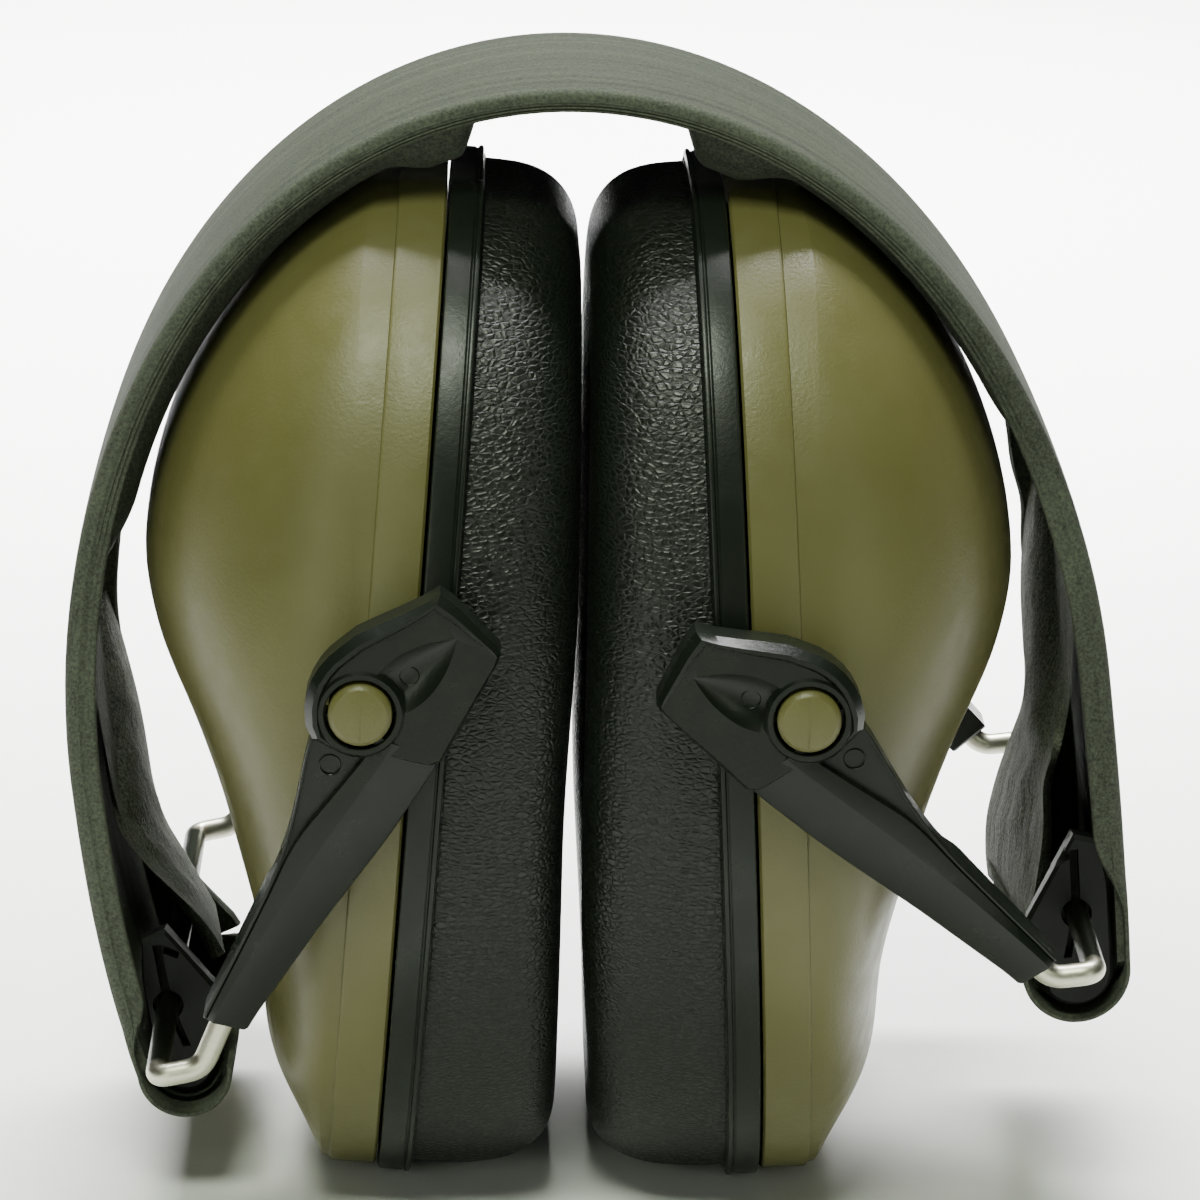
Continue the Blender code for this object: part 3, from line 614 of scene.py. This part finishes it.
def tube(path, radius, sides):
    """A round tube along a path, its ring carried along without twist."""
    path = [np.array(p, float) for p in path]
    rows = []
    normal = None
    for i, point in enumerate(path):
        before, after = path[max(i - 1, 0)], path[min(i + 1, len(path) - 1)]
        along = (after - before) / np.linalg.norm(after - before)
        if normal is None:
            normal = np.cross(along, [0.0, 1.0, 0.0])
        normal = normal - along * np.dot(normal, along)
        normal /= np.linalg.norm(normal)
        other = np.cross(along, normal)
        rows.append([point + radius * (math.cos(2 * math.pi * k / sides) * normal
                                       + math.sin(2 * math.pi * k / sides) * other) for k in range(sides)])
    return skin(rows, caps=True)


# ---------------------------------------------------------------- headband

def to_row(u, v, y):
    """A place in the leaning plane of the band, in the frame of the whole part."""
    c, s = math.cos(BAND_LEAN), math.sin(BAND_LEAN)
    return np.array([BAND_MIDDLE[0] + c * u - s * v, y, BAND_MIDDLE[1] + s * u + c * v])


def ease(low, high, x, start, end):
    """A soft step from low to high while x goes from start to end."""
    t = max(0.0, min(1.0, (x - start) / (end - start)))
    t = t * t * (3 - 2 * t)
    return low + (high - low) * t


def arch_point(label, a):
    """A point of the half-ellipse at an angle from its top."""
    return SIDES[label] * ARCH_HALF[label] * math.sin(a), ARCH_FOOT + (ARCH_TOP - ARCH_FOOT) * math.cos(a)


def band_route(label):
    """The band's outer line from the crown round the hook: (u, v, normal, share of the hook)."""
    side, radius = SIDES[label], HOOK_RADIUS[label]
    arch = [arch_point(label, a) for a in np.linspace(0, math.pi / 2, 111)]
    leg = []
    for i in range(1, 37):
        t = i / 36
        half = ARCH_HALF[label] + (HOOK_HALF[label] - ARCH_HALF[label]) * t ** LEG_POWER
        leg.append((side * half, ARCH_FOOT * (1 - t)))
    centre = side * (HOOK_HALF[label] - radius)
    hook = [(centre + side * radius * math.cos(a), -radius * math.sin(a))
            for a in np.linspace(0, math.pi, 45)[1:]]
    points = arch + leg + hook
    turned_from = len(arch) + len(leg)
    route = []
    for i, (u, v) in enumerate(points):
        before, after = points[max(i - 1, 0)], points[min(i + 1, len(points) - 1)]
        along = np.array([after[0] - before[0], after[1] - before[1]])
        if i == 0:
            along = np.array([side, 0.0])
        along /= np.linalg.norm(along)
        normal = np.array([-along[1], along[0]]) * side
        route.append((u, v, normal, max(0.0, (i - turned_from + 1) / len(hook))))
    return route


def half_width(v):
    """Half of the band's width: it widens towards the pods."""
    return ease(WIDTH_END, WIDTH_TOP, v, 15, 85)


def flange_front(label, v, hook):
    """Depth of the front flange, which is cut away at the pod's opening."""
    leg = ease(3.1, 2.35, v, 45, 90)
    low, high = FRONT_CUT[label]
    return ease(0.5, leg, v, low, high) if hook == 0 else 0.5


def flange_rear(label, v, hook):
    """Depth of the rear flange, averaged so that it runs smoothly."""
    if hook > 0:
        return HOOK_RADIUS[label]
    heights, depths = zip(*REAR_FLANGE[label])
    near = [float(np.interp(v + step, heights, depths)) for step in (-2, -1, 0, 1, 2)]
    return sum(near) / len(near)


def side_profile(w, depth, groove, fillet, wall=SKIN):
    """One side of the section from the outer face to the inner web: (y, depth) pairs for +y."""
    round_off = min(1.1, depth * 0.6)
    points = [(w - round_off - 0.2, 0.0)]
    for i in range(1, 7):
        a = math.pi / 2 * i / 6
        points.append((w - round_off * (1 - math.sin(a)), round_off * (1 - math.cos(a))))
    room = depth - round_off
    bead = min(0.13, 0.1 * room)
    for share, out in ((0.06, 0.0), (0.12, bead), (0.17, bead), (0.24, 0.0),
                       (0.40, 0.0), (0.46, -groove), (0.50, -groove), (0.56, 0.0),
                       (0.66, 0.0), (0.72, -groove), (0.76, -groove), (0.82, 0.0)):
        points.append((w + out, round_off + share * room))
    lip = min(0.25, 0.3 * room)
    points += [(w, depth - lip), (w - 0.3 * lip, depth - 0.3 * lip), (w - lip, depth),
               (w - wall + lip, depth), (w - wall + 0.3 * lip, depth - 0.3 * lip)]
    inside = w - wall
    for i in range(9):
        t = i / 8
        at = depth - lip + (SKIN - depth + lip) * t
        sweep = max(0.0, 1 - max(at - SKIN, 0.0) / (fillet + 0.6)) ** 2
        points.append((inside - fillet * sweep, at))
    return points


def roll_depth(label, u, v):
    """Swell of the two soft rolls in the lining, on the shoulders of the arch."""
    start, fuller = KNEE[label]
    begun = ease(0.0, 1.0, abs(u), start, start + 5.0)
    knee = fuller * ease(1.0, 0.0, abs(u), start + 8.0, start + 13.0)
    return begun * ease(0.0, 1.0, v, 46.0, 60.0) * (ROLL[label] + knee)


def roll_share(t):
    """Height of the soft rolls across the lining: a full one at the front, a flatter one at the rear."""
    front = math.sqrt(max(0.0, 1 - ((t + 0.72) / 0.27) ** 2))
    rear = 0.7 * math.sqrt(max(0.0, 1 - ((t - 0.45) / 0.5) ** 2))
    return max(front, rear, 0.35 * min(1.0, 6 * (1 - abs(t))))


def band_section(label, u, v, hook):
    """Closed section of the cover: outer face, rear side, lined inner face, front side."""
    w = half_width(v)
    groove = ease(0.0, 0.22, v, 35, 70)
    rear = side_profile(w, flange_rear(label, v, hook), groove, 1.6 if hook == 0 else 0.3)
    front = side_profile(w, flange_front(label, v, hook), groove, 0.3, SKIN + 4.0 * min(1.0, 6 * hook))
    top = [(w * t, -0.22 * (1 - t * t)) for t in (-0.75, -0.5, -0.25, 0.0, 0.25, 0.5, 0.75)]
    swell_by = roll_depth(label, u, v)
    inner = [(w * 0.86 * t, SKIN + swell_by * roll_share(t)) for t in np.linspace(1, -1, 41)]
    return top + rear + inner + [(-y, d) for y, d in reversed(front)]


def folds(u, v, y):
    """Height of the lining's soft irregular folds, from -1 to 1."""
    a = math.sin(0.55 * v + 0.9 * math.sin(0.5 * u) + 0.35 * y)
    b = math.sin(0.31 * v - 0.75 * u + 1.1 * math.sin(0.33 * v))
    return 0.6 * a * b + 0.4 * math.sin(1.1 * v + 0.8 * u + 1.5 * b)


def band_half(label):
    """Half of the headband's cover, from the crown round its leg to the hook."""
    side = SIDES[label]
    rows = []
    for u, v, normal, hook in band_route(label):
        row = []
        for y, d in band_section(label, u, v, hook):
            pu, pv = u - normal[0] * d, v - normal[1] * d
            if y > 0 and d > SKIN + 0.1 and y < half_width(v) - SKIN + 0.05:
                y -= 0.28 * (1 + folds(pu * side, pv, y)) * min(1.0, (d - SKIN) / 2)
            row.append(to_row(pu, pv, y))
        rows.append(row)
    verts, faces = skin(rows)
    count = len(rows[0])
    faces.append(tuple(range((len(rows) - 1) * count, len(rows) * count)))
    band = mesh_piece("band_" + label, verts, faces, "band", 50.0)
    start = to_row(0, ARCH_TOP, 0) * MM
    bend = math.radians(38)
    end = to_row(*arch_point(label, bend), 0) * MM
    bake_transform(band)
    nodes = ["band_cover_" + label, "band_spring_" + label]
    if label == "left":
        nodes += ["band_cover_crown", "band_spring_crown"]
    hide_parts(*nodes)
    return band


# ---------------------------------------------------------------- pods

def insert_outline(label):
    """Outline of the plastic insert in the band's plane, for the right side; left is its mirror."""
    out = HOOK_HALF[label] - 1.5
    centre, radius = HOOK_HALF[label] - HOOK_RADIUS[label], HOOK_RADIUS[label] - 1.7
    points = [(out - 3.0, 14.4), (out - 0.6, 13.6), (out - 0.1, 9.5), (out - 0.1, 2.5)]
    points += [(centre + radius * math.cos(a), -radius * math.sin(a))
               for a in np.linspace(0.1, math.pi * 0.8, 12)]
    points += [(out - 8.7, 5.8)]
    return points


def extruded(outline, to_point, y_values, insets):
    """Loft of one outline along Y with an inset towards its middle at each y."""
    middle = np.mean(outline, axis=0)
    rows = []
    for y, inset in zip(y_values, insets):
        row = []
        for u, v in outline:
            toward = middle - np.array([u, v])
            toward /= np.linalg.norm(toward)
            row.append(to_point(u + toward[0] * inset, v + toward[1] * inset, y))
        rows.append(row)
    return skin(rows, caps=True)


def carve(obj, cutters):
    """Cuts closed meshes out of a piece for good."""
    for number, (verts, faces) in enumerate(cutters):
        tool = mesh_piece(f"{obj.name}_tool_{number}", verts, faces, "insert")
        cut = obj.modifiers.new("cut", "BOOLEAN")
        cut.operation, cut.solver, cut.object = "DIFFERENCE", "EXACT", tool
        bpy.context.view_layer.update()
        done = bpy.data.meshes.new_from_object(obj.evaluated_get(bpy.context.evaluated_depsgraph_get()))
        obj.modifiers.remove(cut)
        obj.data = done
        bpy.data.objects.remove(tool)
    obj.data.shade_smooth()
    obj.data.set_sharp_from_angle(angle=math.radians(30))


def pod_insert(label):
    """Plastic insert: bevelled front face with the keyhole and the snap slot for the crossbar."""
    side = SIDES[label]
    axis = joint_point("fold_" + label)
    c, s = math.cos(BAND_LEAN), math.sin(BAND_LEAN)
    du, dv = axis[0] - BAND_MIDDLE[0], axis[2] - BAND_MIDDLE[1]
    k, key = side * (c * du + s * dv), -s * du + c * dv

    def place(u, v, y):
        return to_row(side * u, v, -y)
    face_y = INSERT_FACE[label]
    block = extruded(insert_outline(label), place, (face_y - 4.0, face_y - 0.5, face_y), (0.6, 0, 0.45))
    body = mesh_piece("insert_" + label, *block, "insert", 30.0)
    low, high = face_y - 1.6, face_y + 1.0

    def box(points):
        return extruded(points, place, (low, high), (0, 0))
    hole = [(k + 1.55 * math.cos(a), key + 1.55 * math.sin(a)) for a in np.linspace(0, 2 * math.pi, 25)[:-1]]
    carve(body, [box(hole), box([(k - 0.45, key), (k + 0.45, key), (k + 0.75, 12.9), (k - 0.15, 12.9)]),
                 box([(k - 0.3, 12.9), (k - 0.1, 12.0), (k - 1.6, 11.2), (k - 1.9, 11.9)]),
                 box([(k - 0.5, key), (k + 0.3, key), (k - 0.9, key - 4.6), (k - 1.7, key - 4.6)])])
    bevel(body, 0.1)
    return stands_for(body, "band_" + label, "spring", "pivot_insert_" + label)


# The lining's soft roll inside the pod: free edge at the rear, crease where it dips behind the insert.
ROLL_EDGE = {
    "left": [(50.2, 42.0), (49.0, 33.0), (48.3, 26.0), (48.3, 16.0), (45.5, 9.4), (43.2, 3.4)],
    "right": [(48.8, 45.0), (46.6, 34.0), (45.8, 25.0), (46.0, 17.7), (43.9, 13.5), (40.9, 7.0), (39.6, 1.5),
              (39.8, -3.5)],
}
ROLL_CREASE = {
    "left": [(51.6, 42.0), (51.4, 30.0), (50.6, 23.0), (48.2, 18.4), (45.4, 14.8), (42.4, 11.0), (40.6, 6.6)],
    "right": [(50.4, 45.0), (49.6, 32.0), (47.4, 23.0), (44.2, 17.6), (44.4, 14.0), (43.6, 9.5), (42.4, 5.0),
              (41.4, 0.8)],
}
ROLL_FRONT_Y = {"left": -6.0, "right": -11.0}


def pod_lining(label):
    """Padded roll of the lining inside the pod, between the rear flange and the insert."""
    side, front_y = SIDES[label], ROLL_FRONT_Y[label]
    steps, across, back_y = 40, 22, 19.1
    edge, crease = np.array(ROLL_EDGE[label]), np.array(ROLL_CREASE[label])

    def along(points, t):
        at = np.linspace(0, 1, len(points))
        near = [np.clip(t + d, 0, 1) for d in (-0.08, -0.04, 0, 0.04, 0.08)]
        return np.array([np.mean([np.interp(n, at, points[:, k]) for n in near]) for k in (0, 1)])
    rows = []
    for i in range(steps + 1):
        t = i / steps
        back, front = along(edge, t), along(crease, t)
        row = []
        for j in range(across + 1):
            r = j / across
            middle = back * (1 - r) + front * r
            y = back_y + (front_y - back_y) * r * min(1.0, 0.25 + 2.0 * t)
            puff = 1.6 * math.sin(math.pi * min(1.0, 1.15 * r)) * math.sin(math.pi * min(1.0, 0.15 + t))
            fold = 0.45 * folds(middle[0], middle[1] + 0.5 * y, y)
            fold *= math.sin(math.pi * r) * math.sin(math.pi * t)
            row.append(to_row(side * (middle[0] - puff * 0.5 - fold), middle[1] + 0.6 * puff, y - puff))
        under = front * 0.75 + np.array([HOOK_HALF[label] - 3.0, front[1]]) * 0.25
        row.append(to_row(side * under[0], under[1] - 1.2, front_y + 1.5))
        row.append(to_row(side * (0.5 * under[0] + 0.5 * back[0] + 0.6),
                          0.5 * (under[1] + back[1]) - 2.0, 17.0))
        rows.append(row)
    lining = mesh_piece("pod_lining_" + label, *skin(rows, caps=True), "lining", 60.0)
    return stands_for(lining, "band_" + label, "headband_foam")


# ---------------------------------------------------------------- arms

# The head plate's outline from its outer corner round to the hidden side: (s, t, height of the rim).
HEAD = [(-13.6, 2.6, 1), (-13.3, 3.9, 1), (-12.9, 5.0, 0.8), (-10.9, 9.6, 0.3), (-10.45, 10.1, 0),
        (-9.6, 10.2, 0), (-1.8, 9.4, 0), (1.6, 9.05, 0), (2.4, 8.2, 0), (3.1, 4.6, 0), (4.2, 1.2, 0),
        (4.4, -1.2, 0),
        (4.2, -3.2, 0.6), (3.2, -4.3, 1), (1.6, -5.05, 1), (0.2, -5.4, 1), (-1.2, -5.45, 1), (-2.6, -5.25, 1),
        (-4.0, -4.8, 1), (-5.5, -4.0, 1), (-6.9, -3.2, 1), (-8.7, -1.6, 1), (-10.4, 0.0, 1), (-12.1, 1.5, 1)]
# The stem's sections: s, then t of inner edge, ridge, strip's edge and outer rim.
STEM = [(1.5, 9.0, 4.2, 2.6, -3.4), (4.0, 8.6, 3.65, 2.1, -3.6), (8.0, 7.9, 2.85, 1.0, -2.8),
        (11.0, 7.4, 2.25, 0.15, -2.2), (14.6, 6.55, 1.5, -0.9, -1.6), (18.5, 5.7, 0.85, -0.95, -1.4),
        (21.3, 5.0, 0.45, -1.05, -1.45), (25.0, 4.3, 0.0, -1.2, -1.6), (30.0, 3.35, -0.55, -1.45, -1.85),
        (35.2, 2.35, -1.1, -1.75, -2.15)]
# y of the stem's outer ridge and of its inner face along s.
STEM_TOP = ((1.5, 4, 11, 18.5, 21.3, 35.4), (44.1, 43.9, 43.4, 42.7, 42.4, 40.6))
STEM_BASE = ((1.5, 11, 18.5, 21.3, 35.4), (40.1, 39.0, 38.8, 35.6, 35.5))
SCOOP = dict(centre=(-4.5, 2.85), direction=(-0.904, 0.428), half_length=6.7, half_width=2.65, depth=1.15)
FIELD_Y, RIM_Y, HEAD_BASE_Y = 43.9, 44.3, 39.9


def arm_place(label, face):
    """Maps an arm's own frame (s along it, t towards the cushion, y outwards) to the model."""
    boss = joint_point("cup_" + label)
    along = arm_direction(label)
    across = np.array([SIDES[label] * along[2], 0.0, -abs(along[0])])
    sign = FACES[face]

    def place(s, t, y):
        return boss + along * s + across * t + np.array([0.0, sign * y, 0.0])
    return place


def head_plate():
    """The arm's head in its own frame (s, t, y): raised rim on the free edges, hole and scoop cut in."""
    rows = []
    # The two lower rings are at a given y; the three upper ones climb to a share of the rim's height.
    rings = [(HEAD_BASE_Y, 0, 0), (43.2, 0, 0), (1.0, 0.75, 0.4), (1.0, 1.2, 0.45), (0.15, 1.5, 0.5)]
    for base, shrink_rim, shrink_plain in rings:
        row = []
        for s, t, rim in HEAD:
            inward = np.array([-2.0 - s, 2.0 - t])
            inward /= np.linalg.norm(inward)
            shrink = shrink_plain + (shrink_rim - shrink_plain) * rim
            y = base if base > 2 else FIELD_Y + (RIM_Y - FIELD_Y) * base * rim
            row.append((s + inward[0] * shrink, t + inward[1] * shrink, y))
        rows.append(row)
    head = mesh_piece("head_form", *skin(rows, caps=True), "arm")
    angles = np.linspace(0, 2 * math.pi, ROUND_STEPS + 1)[:-1]
    hole = [[(ARM_HOLE * math.cos(a), ARM_HOLE * math.sin(a), y) for a in angles] for y in (38.0, 46.0)]
    carve(head, [scoop_tool(), skin(hole, caps=True)])
    return head


def scoop_tool():
    """Boat-shaped hollow that runs from the boss to the outer corner."""
    ds, dt = SCOOP["direction"]
    rows = []
    for d in np.linspace(-1, 1, 33):
        reach = SCOOP["half_width"] * max(1 - abs(d) ** 1.9, 0.01)
        row = []
        for x in np.linspace(-1, 1, 17):
            along, across = d * SCOOP["half_length"], x * reach
            drop = SCOOP["depth"] * reach / SCOOP["half_width"] * (1 - x * x)
            row.append((SCOOP["centre"][0] + ds * along + dt * across,
                        SCOOP["centre"][1] + dt * along - ds * across, FIELD_Y + 0.12 - drop))
        row += [(row[-1][0], row[-1][1], 46.0), (row[0][0], row[0][1], 46.0)]
        rows.append(row)
    return skin(rows, caps=True)


def revolved(points, centre=(0.0, 0.0), count=ROUND_STEPS):
    """A closed ring: (radius, y) points turned about a line through centre."""
    rows = []
    for k in range(count):
        a = 2 * math.pi * k / count
        rows.append([(centre[0] + r * math.cos(a), centre[1] + r * math.sin(a), y) for r, y in points])
    return skin(rows, closed_rows=True)


def stem_form():
    """Stem with a broad lower facet, a light upper strip, and a thin gusset behind a fine rim."""
    table = np.array(STEM)
    stations = np.linspace(table[0, 0], table[-1, 0], 34)
    rows = []
    for s in stations:
        near = np.clip(s + np.linspace(-2.5, 2.5, 7), table[0, 0], table[-1, 0])
        inner, ridge, strip, outer = (float(np.mean(np.interp(near, table[:, 0], table[:, k])))
                                      for k in (1, 2, 3, 4))
        top = float(np.interp(s, *STEM_TOP))
        base = float(np.interp(s, *STEM_BASE))
        gusset = top - 0.45 - 0.95 * ease(1.0, 0.25, s, 12, 20)
        rim = gusset + 0.55 * ease(1.0, 0.5, s, 12, 20)
        flat = max(outer + 0.32, min(strip - 0.1, outer + 0.34))
        rows.append([(s, inner, base), (s, inner, top - 1.75), (s, inner - 0.12, top - 1.5),
                     (s, inner - 0.45, top - 1.3), (s, ridge + 0.1, top - 0.02), (s, ridge - 0.06, top),
                     (s, strip + 0.08, top - 0.4), (s, strip, top - 0.5),
                     (s, max(strip - 0.08, flat), gusset), (s, flat, gusset), (s, outer + 0.27, rim),
                     (s, outer + 0.08, rim), (s, outer, rim - 0.12), (s, outer, base),
                     (s, 0.5 * (inner + outer), base)])
    tip = rows[-1]
    middle = np.mean([p[1:] for p in tip], axis=0)
    rows.append([(35.45, t + (middle[0] - t) * 0.07, y + (middle[1] - y) * 0.07) for _, t, y in tip])
    return skin(rows, caps=True)


def arm_form():
    """Vertices and faces of an arm in its own frame, made once for all four."""
    head = head_plate()
    bpy.context.view_layer.update()
    verts = [tuple(c / MM for c in v.co) for v in head.data.vertices]
    faces = [tuple(p.vertices) for p in head.data.polygons]
    bpy.data.objects.remove(head)
    h = ARM_HOLE
    collar = revolved([(h, HEAD_BASE_Y), (h, RIM_Y - 0.12), (h + 0.1, RIM_Y), (h + 0.55, RIM_Y),
                       (h + 0.95, FIELD_Y - 0.15), (h + 0.95, HEAD_BASE_Y)])
    w = 0.07
    marks = [revolved([(r - w, y - 0.5), (r - w, y), (r, y + 0.045), (r + w, y), (r + w, y - 0.5)], at, 40)
             for at, r, y in (((-5.0, 3.0), 0.9, 43.0), ((6.2, -0.6), 1.0, 42.5))]
    return joined((verts, faces), collar, stem_form(), *marks)


def arm(form, label, face):
    """One arm: the common form set in its place."""
    place = arm_place(label, face)
    verts = [place(s, t, y) for s, t, y in form[0]]
    made = mesh_piece(f"arm_{face}_{label}_look", verts, form[1], "arm", 24.0)
    bevel(made, 0.06, 2, 24.0)
    return stands_for(made, "arms_" + label, "arm", f"arm_{face}_{label}")


# ---------------------------------------------------------------- studio

def floor():
    """Wide sheet of pale paper under the earmuffs."""
    reach = 2600.0
    corners = [[(x, y, 0.0) for x in (-reach, reach)] for y in (-reach, reach)]
    verts, faces = skin(corners, closed_columns=False)
    MATERIALS["floor"] = paper_floor()
    sheet = mesh_piece("studio_floor", verts, faces, "floor")


def lamp(name, place, aim, size, power, colour=(1.0, 1.0, 1.0), spread=180.0):
    """Rectangular area light; place, aim and size are in metres."""
    data = bpy.data.lights.new(name, "AREA")
    data.shape = "RECTANGLE"
    data.size, data.size_y = size
    data.energy = power
    data.color = colour
    data.spread = math.radians(spread)
    obj = bpy.data.objects.new(name, data)
    obj.location = place
    obj.rotation_euler = (Vector(aim) - Vector(place)).to_track_quat("-Z", "Y").to_euler()
    bpy.context.scene.collection.objects.link(obj)


def studio():
    """Soft light from above, two narrow side lights and a wash on the floor behind."""
    world = bpy.data.worlds.new("studio")
    world.use_nodes = True
    background = world.node_tree.nodes["Background"]
    background.inputs["Color"].default_value = (1.0, 1.0, 1.0, 1.0)
    background.inputs["Strength"].default_value = 0.010
    bpy.context.scene.world = world
    aim = (0.0, 0.0, 0.055)
    warm = (0.92, 1.0, 0.82)
    lamp("key", (-0.12, -0.44, 0.78), aim, (0.30, 0.26), 7.4, warm)
    lamp("left", (-0.36, -0.74, 0.22), aim, (0.12, 0.44), 1.2, warm)
    lamp("right", (0.46, -0.66, 0.20), aim, (0.10, 0.40), 0.6, warm)
    lamp("top", (0.0, -0.10, 0.85), aim, (0.4, 0.3), 0.3, warm)
    lamp("floor_wash", (0.0, 0.55, 0.8), (0.0, 0.50, 0.0), (0.7, 0.7), 21.0, spread=70.0)


def camera():
    """Long lens a little above and to the left of the front."""
    distance, elevation, yaw, roll = 0.550, math.radians(16.0), math.radians(-1.6), math.radians(1.3)
    target = Vector((0.0, 0.0, 0.0585))
    level = math.cos(elevation)
    back = Vector((math.sin(yaw) * level, -math.cos(yaw) * level, math.sin(elevation)))
    right = Vector((math.cos(yaw), math.sin(yaw), 0.0))
    up = back.cross(right)
    turned_right = right * math.cos(roll) + up * math.sin(roll)
    turned_up = up * math.cos(roll) - right * math.sin(roll)
    data = bpy.data.cameras.new("camera")
    data.sensor_width = 36.0
    data.lens = 160.7
    obj = bpy.data.objects.new("camera", data)
    turn = Matrix((turned_right, turned_up, back)).transposed().to_4x4()
    obj.matrix_world = Matrix.Translation(target + back * distance) @ turn
    bpy.context.scene.collection.objects.link(obj)
    bpy.context.scene.camera = obj


def carried_over():
    """Materials of the CAD nodes that are shown as they are."""
    looks = {"cushion_frame": "plate", "cup_foam": "foam"}
    for start, look in looks.items():
        for label in SIDES:
            for entry in frame["nodes"][f"{start}_{label}"].material_slots:
                entry.material = MATERIALS[look]


camera()
studio()
floor()
carried_over()
form = arm_form()
for label in SIDES:
    band_half(label)
    pod_lining(label)
    pod_insert(label)
    wire(label)
    cup_shell(label)
    seal_plate(label)
    cushion(label)
    weld_hem(label)
    for face in FACES:
        boss_button(label, face)
        arm(form, label, face)
